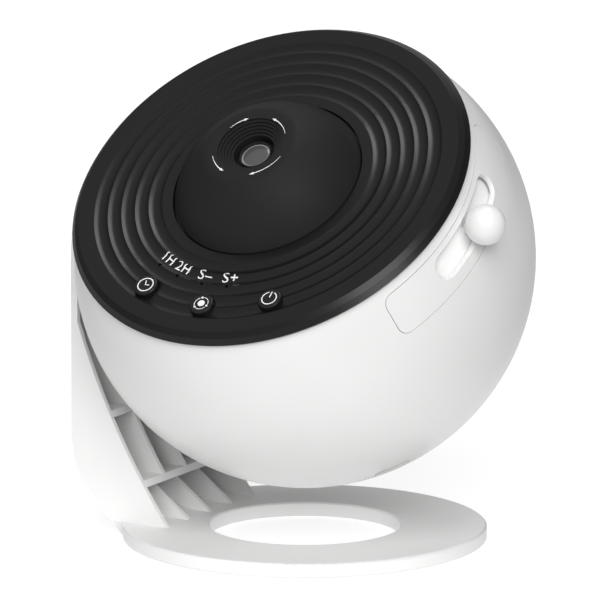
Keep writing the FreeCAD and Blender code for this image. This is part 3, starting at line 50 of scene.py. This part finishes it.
# ---------------------------------------------------------------- stand
# One white moulding: the flat base ring, the flared foot, and the arm with its open ribbed back.
# It is injection moulded with a fine satin texture, a little duller than the ball.
PLASTIC_TINTS = (0.965, 1.025)      # darkest and lightest share of the colour
PLASTIC_GLOSS_SWING = 0.05


def feed(tree, socket, value):
    """Give a socket its value, or link it to another node's output."""
    if isinstance(value, bpy.types.NodeSocket):
        tree.links.new(value, socket)
    else:
        socket.default_value = value


def shade(tree, kind, inputs, **settings):
    """Add a shader node with its settings and what goes into it."""
    node = tree.nodes.new(kind)
    for setting, value in settings.items():
        setattr(node, setting, value)
    for socket, value in inputs.items():
        feed(tree, node.inputs[socket], value)
    return node


def object_place(tree):
    return shade(tree, "ShaderNodeTexCoord", {}).outputs["Object"]


def noise(tree, place, scale, detail):
    field = shade(tree, "ShaderNodeTexNoise", {"Vector": place, "Scale": scale, "Detail": detail})
    return field.outputs["Fac"]


def tinted(tree, factor, low, high):
    """Colour that goes from the low one to the high one."""
    ends = {"A": (*low, 1.0), "B": (*high, 1.0), "Factor": factor}
    return shade(tree, "ShaderNodeMix", ends, data_type="RGBA").outputs["Result"]


def share_of(colour, share):
    return [min(1.0, value * share) for value in colour]


def ranged(tree, factor, low, high):
    """Number that goes from the low one to the high one."""
    span = shade(tree, "ShaderNodeMapRange", {"Value": factor, "To Min": low, "To Max": high})
    return span.outputs["Result"]


def bumped(tree, height, strength, distance):
    bump = shade(tree, "ShaderNodeBump", {"Height": height, "Strength": strength, "Distance": distance})
    return bump.outputs["Normal"]


def shader_of(material):
    return material.node_tree.nodes["Principled BSDF"]


def new_material(name):
    material = bpy.data.materials.new(name)
    material.use_nodes = True
    return material, material.node_tree


def dress(material, inputs):
    """Set what goes into the material's own shader."""
    for socket, value in inputs.items():
        feed(material.node_tree, shader_of(material).inputs[socket], value)


def moulded_plastic(name, colour, roughness, grain=0.00035, relief=0.000012, shine=0.5):
    """Moulded plastic: faint cloudiness in the colour, uneven gloss and a fine spark-eroded grain."""
    material, tree = new_material(name)
    place = object_place(tree)
    cloud = noise(tree, place, scale=34.0, detail=3.0)
    grains = noise(tree, place, scale=1.0 / grain, detail=2.0)
    dress(material, {
        "Base Color": tinted(tree, cloud, *[share_of(colour, share) for share in PLASTIC_TINTS]),
        "Roughness": ranged(tree, cloud, roughness - PLASTIC_GLOSS_SWING, roughness + PLASTIC_GLOSS_SWING),
        "Normal": bumped(tree, grains, strength=0.35, distance=relief),
        "Specular IOR Level": shine})
    return material


def finish(material, *node_names):
    """Give CAD pieces their finish."""
    for node_name in node_names:
        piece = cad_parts[node_name]
        if not piece.material_slots:
            piece.data.materials.append(material)
        for slot in piece.material_slots:
            slot.material = material


stand_white = moulded_plastic("satin white stand moulding", (0.75, 0.75, 0.746), 0.46)
finish(stand_white, "stand_frame", "pivot_cap")

# ---------------------------------------------------------------- foot pads
# Four soft black rubber discs pressed into the recesses under the ring.
# They lift the ring a little off the table and keep it from sliding.
pad_rubber = moulded_plastic("soft black pad rubber", (0.03, 0.03, 0.031), 0.82, grain=0.0006,
                             relief=0.00003)
finish(pad_rubber, "foot_pads")

# ---------------------------------------------------------------- tilt pivot
# A zinc-plated shoulder bolt, steel washers and a nut, with a natural plastic friction washer.
# The bolt runs from the arm's recess through the ball's wall and is nipped up so that the head stays put.
METAL_TINTS = (0.86, 1.08)
METAL_GLOSS = (0.75, 1.3)           # smoothest and roughest share of the roughness


def plated_metal(name, colour, roughness, stretch=(1.0, 1.0, 1.0), grain=0.0004):
    """Metal with fine tool marks, stretched along the way it was worked."""
    material, tree = new_material(name)
    squeezed = shade(tree, "ShaderNodeMapping", {"Vector": object_place(tree), "Scale": stretch})
    marks = noise(tree, squeezed.outputs["Vector"], scale=1.0 / grain, detail=4.0)
    dress(material, {
        "Base Color": tinted(tree, marks, *[share_of(colour, share) for share in METAL_TINTS]),
        "Roughness": ranged(tree, marks, *[roughness * share for share in METAL_GLOSS]),
        "Normal": bumped(tree, marks, strength=0.3, distance=0.00001),
        "Metallic": 1.0})
    return material


zinc = plated_metal("zinc-plated steel", (0.60, 0.61, 0.60), 0.34)
natural_nylon = moulded_plastic("natural slippery plastic", (0.72, 0.70, 0.63), 0.4)
finish(zinc, "pivot_bolt", "thrust_washer", "spring_washer", "pivot_nut")
finish(natural_nylon, "friction_washer")

# ---------------------------------------------------------------- ball
# The head's white shell, with the curved plate that covers the focus slot and the shield that moves
# behind it.  Smoother and a little glossier than the stand.
ball_white = moulded_plastic("smooth white ball shell", (0.73, 0.73, 0.726), 0.32, relief=0.000006)
# Painted light: the shield is a lighter white than the shell, so that the slot over it looks lit rather
# than shaded.
shield_white_painted_light = moulded_plastic("focus shield white with painted light", (0.93, 0.93, 0.925), 0.34, relief=0.000006)
knob_white = moulded_plastic("smooth white focus knob", (0.77, 0.77, 0.766), 0.28, relief=0.000004)
finish(ball_white, "head_shell", "focus_cover_plate")
finish(shield_white_painted_light, "focus_shutter")
finish(knob_white, "focus_knob")

# ---------------------------------------------------------------- power inlet
# Small white socket behind an opening low on the ball, with its own little circuit board.
socket_white = moulded_plastic("white socket moulding", (0.80, 0.80, 0.79), 0.4)
solder_mask = moulded_plastic("green circuit board", (0.02, 0.16, 0.07), 0.35, grain=0.0008)
finish(socket_white, "power_inlet")
finish(solder_mask, "inlet_board", "control_board", "led_board")

# ---------------------------------------------------------------- front panel
# Matt black moulding with five shallow turned-looking scallops and a bevelled lip over the ball's rim.
# Its surface has an even fine texture that scatters light, so the ridges show as soft lines.
HEAD_TILT = 39.3
BALL_CENTRE = Vector((0.0, 0.0, 0.0932))
PANEL_FACE = 0.038299               # from the ball's centre, along the optical axis
head_place = Matrix.Translation(BALL_CENTRE) @ Matrix.Rotation(radians(HEAD_TILT), 4, "X")
panel_black = moulded_plastic("matt black panel moulding", (0.0055, 0.0055, 0.0056), 0.31,
                              grain=0.00028, relief=0.00002, shine=0.5)
finish(panel_black, "front_panel", "bayonet_ring")

# ---------------------------------------------------------------- dome
# The black cover over the optics, in a duller finish than the panel, with the lens barrel in its tube.
# It comes off with a short turn, as the arrows round the funnel show.
dome_black = moulded_plastic("dull black dome moulding", (0.016, 0.016, 0.0162), 0.52,
                             grain=0.00028, relief=0.00002, shine=0.14)
finish(dome_black, "dome_cover", "lens_barrel")

# ---------------------------------------------------------------- inside the head
# Black frame, focus ring and film stage, with steel rods, screws and pins.
# Nothing of it shows while the head is closed.
inner_black = moulded_plastic("black inner moulding", (0.035, 0.035, 0.036), 0.5)
ground_steel = plated_metal("ground steel", (0.68, 0.68, 0.69), 0.18)
motor_steel = plated_metal("drawn steel can", (0.52, 0.53, 0.54), 0.3, stretch=(1.0, 6.0, 1.0))
sink_metal = plated_metal("clear anodised aluminium", (0.66, 0.67, 0.68), 0.42)
gear_brass = plated_metal("turned brass", (0.70, 0.52, 0.22), 0.28)
finish(inner_black, "inner_frame", "focus_retainer", "focus_ring", "film_stage", "carrier_clip",
       "condenser_holder", "lens_spacer", "lens_retainer", "button_switches")
finish(ground_steel, "guide_rods", "cam_pins", "motor_shaft")
finish(zinc, "frame_screws", "board_screws", "holder_screws", "sink_screws")
finish(motor_steel, "spin_motor")
finish(sink_metal, "heat_sink")
finish(gear_brass, "motor_pinion")
finish(natural_nylon, "disc_carrier")

# ---------------------------------------------------------------- film disc
# Clear disc with a dark coating that a few thousand fine holes let light through, as a star field.
# The holes here are a random scatter and show no real sky.
FILM_COATING = (0.008, 0.009, 0.014)
FILM_HOLE = (0.75, 0.78, 0.85)


def star_film():
    material, tree = new_material("coated star film")
    cells = shade(tree, "ShaderNodeTexVoronoi", {"Vector": object_place(tree), "Scale": 900.0})
    holes = shade(tree, "ShaderNodeMapRange", {
        "Value": cells.outputs["Distance"], "From Min": 0.06, "From Max": 0.10,
        "To Min": 1.0, "To Max": 0.0})
    dress(material, {
        "Base Color": tinted(tree, holes.outputs["Result"], FILM_COATING, FILM_HOLE),
        "Roughness": 0.12})
    return material


finish(star_film(), "film_disc")

# ---------------------------------------------------------------- lenses and lights
# Moulded clear lenses: the front one fills the dome's throat and shows grey against the dark barrel,
# with a painted highlight as a lighter rim.  The indicator pins are smoked plastic that stays dark until
# their lamps light.
LENS_HIGHLIGHT_INNER = 0.0040
LENS_HIGHLIGHT_OUTER = 0.0046
LENS_PAINTED_HIGHLIGHT_COLOUR = (0.30, 0.30, 0.31, 1.0)
LENS_HAZE_TINT = 0.95
LENS_GLOSS_SWING = 0.06


def clear_lens(name, colour, roughness, clearness):
    """Polished clear plastic with a little haze."""
    material, tree = new_material(name)
    haze = noise(tree, object_place(tree), scale=220.0, detail=3.0)
    dress(material, {
        "Base Color": tinted(tree, haze, share_of(colour, LENS_HAZE_TINT), colour),
        "Roughness": ranged(tree, haze, roughness, roughness + LENS_GLOSS_SWING),
        "IOR": 1.49,
        "Transmission Weight": clearness,
        "Coat Weight": 0.6,
        "Coat Roughness": 0.03})
    return material


def paint_rim_highlight(material):
    """Paint a highlight on a lens towards its rim, by the distance from the optical axis."""
    tree = material.node_tree
    upright = shade(tree, "ShaderNodeMapping", {
        "Vector": object_place(tree), "Location": BALL_CENTRE, "Rotation": (radians(HEAD_TILT), 0.0, 0.0)},
        vector_type="TEXTURE")
    across = shade(tree, "ShaderNodeVectorMath", {0: upright.outputs["Vector"], 1: (1.0, 1.0, 0.0)},
                   operation="MULTIPLY")
    radius = shade(tree, "ShaderNodeVectorMath", {0: across.outputs["Vector"]}, operation="LENGTH")
    highlight_share = shade(tree, "ShaderNodeMapRange", {
        "Value": radius.outputs["Value"], "From Min": LENS_HIGHLIGHT_INNER, "From Max": LENS_HIGHLIGHT_OUTER},
        interpolation_type="SMOOTHSTEP")
    middle = shader_of(material).inputs["Base Color"].links[0].from_socket
    with_highlight = shade(tree, "ShaderNodeMix", {
        "A": middle, "B": LENS_PAINTED_HIGHLIGHT_COLOUR, "Factor": highlight_share.outputs["Result"]}, data_type="RGBA")
    dress(material, {"Base Color": with_highlight.outputs["Result"]})


front_glass = clear_lens("grey front lens", (0.075, 0.076, 0.078), 0.12, 0.0)
# painted highlight: the front lens's colour lightens towards its rim
paint_rim_highlight(front_glass)
inner_glass = clear_lens("clear inner lens", (0.85, 0.90, 0.92), 0.03, 0.8)
pipe_plastic = moulded_plastic("smoked indicator pin", (0.0015, 0.0015, 0.0016), 0.5,
                               grain=0.0002, shine=0.08)
emitter_gel = clear_lens("yellow emitter lens", (0.85, 0.66, 0.18), 0.2, 0.1)
finish(front_glass, "front_lens")
finish(inner_glass, "rear_lens", "condenser_lens")
finish(pipe_plastic, "light_pipes", "indicator_lamps")
finish(emitter_gel, "led_emitter")

# ---------------------------------------------------------------- keys
# Three round satin black keys.  Each carries a pad-printed white mark: a clock for the timer, a dot
# in an orbit for the turning disc, and a power mark.  The marks are drawn in millimetres.
MM = 0.001
KEY_CIRCLE = 0.054008
KEY_PROUD = 0.00125
KEY_ANGLES = {"timer_button": -114.7, "mode_button": -89.6, "power_button": -64.7}
INK_LIFT = 0.00001
INK_DEPTH = 0.00006
DOT_SIDES = 24
CLOCK_RADIUS = 2.62
CLOCK_LINE = 0.38
CLOCK_HANDS = [(-0.40, 1.66), (-0.05, -0.05), (1.38, -0.05)]
CLOCK_HAND_WIDTHS = [0.36, 0.38, 0.36]
ORBIT_CENTRE_DOT = 1.22
ORBIT_RADIUS = 2.36
ORBIT_LINE = 0.23
ORBIT_DOT = 0.40
ORBIT_DOT_ANGLES = (103, -17, -137)
ORBIT_GAP = 16                      # degrees between a dot and the arcs beside it
ORBIT_STEPS = 16
POWER_RADIUS = 2.47
POWER_LINE = 0.36
POWER_HALF_GAP = 22                 # degrees either side of the top
POWER_BAR = [(0, 0.3), (0, 2.7)]
key_black = moulded_plastic("satin black key", (0.008, 0.008, 0.0082), 0.36, grain=0.0003, shine=0.5)
finish(key_black, *KEY_ANGLES)
white_ink = moulded_plastic("white pad-print ink", (0.80, 0.80, 0.80), 0.5, grain=0.0002, relief=0.000004)


def arc_points(radius, start, end, steps=36):
    turns = [radians(start + (end - start) * step / steps) for step in range(steps + 1)]
    return [(radius * cos(turn), radius * sin(turn)) for turn in turns]


def ink_stroke(mesh, points, widths):
    """Flat printed line along points, with a width at each point."""
    rows = []
    for place, (x, y) in enumerate(points):
        before = points[max(place - 1, 0)]
        after = points[min(place + 1, len(points) - 1)]
        along = Vector((after[0] - before[0], after[1] - before[1])).normalized()
        half = widths[place] / 2
        edges = [(x - along.y * side * half, y + along.x * side * half, 0) for side in (-1, 1)]
        rows.append([mesh.verts.new(Vector(edge) * MM) for edge in edges])
    for low, high in zip(rows, rows[1:]):
        mesh.faces.new((low[0], high[0], high[1], low[1]))


def ink_line(mesh, points, width):
    ink_stroke(mesh, points, [width] * len(points))


def ink_dot(mesh, x, y, radius):
    outline = arc_points(radius, 0, 360 - 360 / DOT_SIDES, DOT_SIDES - 1)
    mesh.faces.new([mesh.verts.new(Vector((x + px, y + py, 0)) * MM) for px, py in outline])


def printed(name, mesh, place, body):
    """Give the flat print its thin body of ink, lay it on its surface and let it ride."""
    flat = bmesh.ops.extrude_face_region(mesh, geom=mesh.faces[:])
    raised = [item for item in flat["geom"] if isinstance(item, bmesh.types.BMVert)]
    bmesh.ops.translate(mesh, verts=raised, vec=(0, 0, INK_DEPTH))
    bmesh.ops.recalc_face_normals(mesh, faces=mesh.faces[:])
    data = bpy.data.meshes.new(name)
    mesh.to_mesh(data)
    mesh.free()
    data.transform(place @ Matrix.Translation((0, 0, INK_LIFT - INK_DEPTH / 2)))
    data.materials.append(white_ink)
    piece = bpy.data.objects.new(name, data)
    bpy.context.scene.collection.objects.link(piece)
    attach(piece, body)


def key_top(key):
    turn = radians(KEY_ANGLES[key])
    centre = (KEY_CIRCLE * cos(turn), KEY_CIRCLE * sin(turn), PANEL_FACE + KEY_PROUD)
    return head_place @ Matrix.Translation(centre)


def clock_mark():
    mesh = bmesh.new()
    ink_line(mesh, arc_points(CLOCK_RADIUS, 0, 360), CLOCK_LINE)
    ink_stroke(mesh, CLOCK_HANDS, CLOCK_HAND_WIDTHS)
    printed("clock_mark", mesh, key_top("timer_button"), "timer_button")


def orbit_mark():
    mesh = bmesh.new()
    ink_dot(mesh, 0, 0, ORBIT_CENTRE_DOT)
    for angle in ORBIT_DOT_ANGLES:
        next_angle = angle + 360 / len(ORBIT_DOT_ANGLES)
        arc = arc_points(ORBIT_RADIUS, angle + ORBIT_GAP, next_angle - ORBIT_GAP, ORBIT_STEPS)
        ink_dot(mesh, *arc_points(ORBIT_RADIUS, angle, angle, 1)[0], ORBIT_DOT)
        ink_line(mesh, arc, ORBIT_LINE)
    printed("orbit_mark", mesh, key_top("mode_button"), "mode_button")


def power_mark():
    mesh = bmesh.new()
    ink_line(mesh, arc_points(POWER_RADIUS, 90 + POWER_HALF_GAP, 450 - POWER_HALF_GAP), POWER_LINE)
    ink_line(mesh, POWER_BAR, POWER_LINE)
    printed("power_mark", mesh, key_top("power_button"), "power_button")


clock_mark()
orbit_mark()
power_mark()

# ---------------------------------------------------------------- key legends
# Timer hours and speed signs, pad printed on the panel above the indicator lights.
# The print follows the scallops of the moulding.  Sizes are in millimetres.
LEGENDS = {"one_hour": ("1H", -119.5, 4.95), "two_hours": ("2H", -109.0, 4.95),
           "slower": ("S\u2013", -96.2, 5.25), "faster": ("S+", -83.4, 5.35)}
LEGEND_CIRCLE = 41.6
LEGEND_EDGE = 0.3                   # longer edges are cut, so that the letters can bend
LEGEND_CUTS = 4
SCALLOP_START = 35.8
SCALLOP_PITCH = 4.66
SCALLOP_DEPTH = 0.7


def panel_height(radius):
    """Height of the scalloped face over the panel's flat: zero or less."""
    if radius < SCALLOP_START:
        return 0.0
    across = (radius - SCALLOP_START) % SCALLOP_PITCH - SCALLOP_PITCH / 2
    sphere = (SCALLOP_PITCH ** 2 / 4 + SCALLOP_DEPTH ** 2) / (2 * SCALLOP_DEPTH)
    return sphere - SCALLOP_DEPTH - sqrt(sphere ** 2 - across ** 2)


def lettering(sign, size):
    """Flat letters, cut finely."""
    words = bpy.data.curves.new("legend_words", "FONT")
    words.body = sign
    words.size = size
    words.align_x = "CENTER"
    words.align_y = "CENTER"
    words.offset = 0.01
    words.space_character = 1.07
    words.resolution_u = 4
    carrier = bpy.data.objects.new("legend_words", words)
    bpy.context.scene.collection.objects.link(carrier)
    bpy.context.view_layer.update()
    flat = bpy.data.meshes.new_from_object(carrier)
    bpy.data.objects.remove(carrier)
    mesh = bmesh.new()
    mesh.from_mesh(flat)
    bmesh.ops.triangulate(mesh, faces=mesh.faces[:])
    for _ in range(LEGEND_CUTS):
        long_edges = [edge for edge in mesh.edges if edge.calc_length() > LEGEND_EDGE]
        bmesh.ops.subdivide_edges(mesh, edges=long_edges, cuts=1)
        bmesh.ops.triangulate(mesh, faces=mesh.faces[:])
    return mesh


for legend, (sign, angle, size) in LEGENDS.items():
    mesh = lettering(sign, size)
    swing = Matrix.Rotation(radians(angle + 90), 4, "Z") @ Matrix.Translation((0, -LEGEND_CIRCLE, 0))
    for vertex in mesh.verts:
        spot = swing @ vertex.co
        vertex.co = Vector((spot.x, spot.y, panel_height(spot.xy.length))) * MM
    printed("legend_" + legend, mesh, head_place @ Matrix.Translation((0, 0, PANEL_FACE)), "head")

# ---------------------------------------------------------------- twist arrows
# Four thin printed arrows round the funnel of the dome, in pairs that point at each other.
# Each has its circle in millimetres and the angles of its tail and its head.
DOME_RISE = 0.0170
ARROWS = {"front_right": (13.25, -16, -68), "front_left": (12.85, -150, -111),
          "back_right": (11.8, 30, 75), "back_left": (11.75, 150, 117)}
ARROW_STEPS = 24
ARROW_TAIL_WIDTH = 0.12
ARROW_GROWTH = 0.24                 # how much wider the line is at the head
ARROW_HEAD_SPREAD = 7               # degrees
ARROW_HEAD_WIDTHS = [0.98, 0.75, 0.52, 0.28, 0.04]
cap_place = head_place @ Matrix.Translation((0, 0, PANEL_FACE + DOME_RISE))
for corner, (circle, tail, head) in ARROWS.items():
    mesh = bmesh.new()
    neck = head - ARROW_HEAD_SPREAD if head > tail else head + ARROW_HEAD_SPREAD
    tapered = [ARROW_TAIL_WIDTH + ARROW_GROWTH * step / ARROW_STEPS for step in range(ARROW_STEPS + 1)]
    ink_stroke(mesh, arc_points(circle, tail, neck, ARROW_STEPS), tapered)
    ink_stroke(mesh, arc_points(circle, neck, head, len(ARROW_HEAD_WIDTHS) - 1), ARROW_HEAD_WIDTHS)
    printed("arrow_" + corner, mesh, cap_place, "dome")

# ---------------------------------------------------------------- floor
# Plain pale table top.  It glows white in a wide strip from the projector towards the back and fades
# softly beside and in front of it, so that it doesn't light the ball from below.
FLOOR_HALF = 3.0
TABLE_GLOW = 0.74
FAR_GLOW = 0.22
BACKWARDS = (-0.5, 0.866, 0.0)
SIDEWAYS = (0.866, 0.5, 0.0)
STRIP_HALF = 0.104
STRIP_FLARE = 0.032                 # the strip widens by this share of the way back
STRIP_FRONT = 0.106
STRIP_FADE_END = 0.42
FADE_POWER = 5.0


def table_sum(operation, *values):
    step = shade(table_tree, "ShaderNodeMath", dict(enumerate(values)), operation=operation)
    return step.outputs["Value"]


def measured_along(direction):
    """Distance of a spot on the table along a direction."""
    along = shade(table_tree, "ShaderNodeVectorMath", {0: table_place, 1: direction},
                  operation="DOT_PRODUCT")
    return along.outputs["Value"]


def faded(distance, start):
    """One up to the start, then a soft fall to nothing."""
    fall = shade(table_tree, "ShaderNodeMapRange", {
        "Value": distance, "From Min": start, "From Max": STRIP_FADE_END, "To Min": 1.0, "To Max": 0.0})
    return table_sum("POWER", fall.outputs["Result"], FADE_POWER)


table_white = moulded_plastic("pale table top", (0.36, 0.36, 0.36), 0.9, shine=0.0)
table_tree = table_white.node_tree
table_place = object_place(table_tree)
backwards = measured_along(BACKWARDS)
aside = table_sum("ABSOLUTE", measured_along(SIDEWAYS))
in_strip = faded(table_sum("MULTIPLY_ADD", backwards, -STRIP_FLARE, aside), STRIP_HALF)
behind_front = faded(table_sum("MULTIPLY", backwards, -1.0), STRIP_FRONT)
strip = table_sum("MULTIPLY", in_strip, behind_front)
dress(table_white, {
    "Emission Color": (1.0, 1.0, 1.0, 1.0),
    "Emission Strength": table_sum("MULTIPLY_ADD", strip, TABLE_GLOW - FAR_GLOW, FAR_GLOW)})
corners = [(x * FLOOR_HALF, y * FLOOR_HALF, cad_low[2]) for x, y in ((-1, -1), (1, -1), (1, 1), (-1, 1))]
floor_mesh = bpy.data.meshes.new("table_top")
floor_mesh.from_pydata(corners, [], [(0, 1, 2, 3)])
floor_mesh.materials.append(table_white)
table_top = bpy.data.objects.new("table_top", floor_mesh)
bpy.context.scene.collection.objects.link(table_top)
table_top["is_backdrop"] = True

# ---------------------------------------------------------------- camera
# Long lens, a little above the table and to the right of the face.
VIEW_AZIMUTH = radians(30.0)
VIEW_ELEVATION = radians(11.4)
VIEW_DISTANCE = 3.0
VIEW_WIDTH = 0.19643
VIEW_AIM = Vector((0.000757, -0.00293, 0.07872))
SENSOR_WIDTH = 36.0
towards_camera = Vector((sin(VIEW_AZIMUTH) * cos(VIEW_ELEVATION), -cos(VIEW_AZIMUTH) * cos(VIEW_ELEVATION),
                         sin(VIEW_ELEVATION)))
camera_data = bpy.data.cameras.new("camera")
camera_data.sensor_width = SENSOR_WIDTH
camera_data.lens = SENSOR_WIDTH * VIEW_DISTANCE / VIEW_WIDTH
camera = bpy.data.objects.new("camera", camera_data)
camera.location = VIEW_AIM + towards_camera * VIEW_DISTANCE
camera.rotation_euler = (-towards_camera).to_track_quat("-Z", "Y").to_euler()
bpy.context.scene.collection.objects.link(camera)
bpy.context.scene.camera = camera

# ---------------------------------------------------------------- light
# White room that is brighter overhead, with a large soft light in front of the face, a roof light and
# weaker ones from the right and from behind.  The front light is kept out of reflections.
ROOM_BRIGHT_WAY = (-0.1, -0.5, 0.86)
ROOM_DIM = 0.08
ROOM_BRIGHT = 0.36
SOFT_LIGHTS = {"roof_light": ((0.0, 0.28, 0.93), 26.0, 0.55),       # direction, spread, strength
               "front_light": ((0.33, -0.78, 0.60), 50.0, 2.3),
               "side_light": ((0.68, -0.58, 0.44), 32.0, 0.9),
               "back_light": ((-0.45, 0.75, 0.5), 60.0, 0.25)}


def white_room():
    world = bpy.data.worlds.new("white room")
    world.use_nodes = True
    tree = world.node_tree
    way_out = shade(tree, "ShaderNodeTexCoord", {}).outputs["Generated"]
    facing = shade(tree, "ShaderNodeVectorMath", {0: way_out, 1: ROOM_BRIGHT_WAY}, operation="DOT_PRODUCT")
    strength = shade(tree, "ShaderNodeMapRange", {
        "Value": facing.outputs["Value"], "From Min": 0.3, "From Max": 0.9, "To Min": ROOM_DIM,
        "To Max": ROOM_BRIGHT}, interpolation_type="SMOOTHSTEP")
    walls = tree.nodes["Background"]
    feed(tree, walls.inputs["Color"], (1.0, 1.0, 1.0, 1.0))
    feed(tree, walls.inputs["Strength"], strength.outputs["Result"])
    return world


def soft_light(name, towards, spread, strength):
    lamp = bpy.data.lights.new(name, "SUN")
    lamp.angle = radians(spread)
    lamp.energy = strength
    light = bpy.data.objects.new(name, lamp)
    light.rotation_euler = (-Vector(towards)).to_track_quat("-Z", "Y").to_euler()
    light.visible_glossy = name != "front_light"
    bpy.context.scene.collection.objects.link(light)


bpy.context.scene.world = white_room()
bpy.context.scene.view_settings.view_transform = "Standard"
for light_name, placing in SOFT_LIGHTS.items():
    soft_light(light_name, *placing)
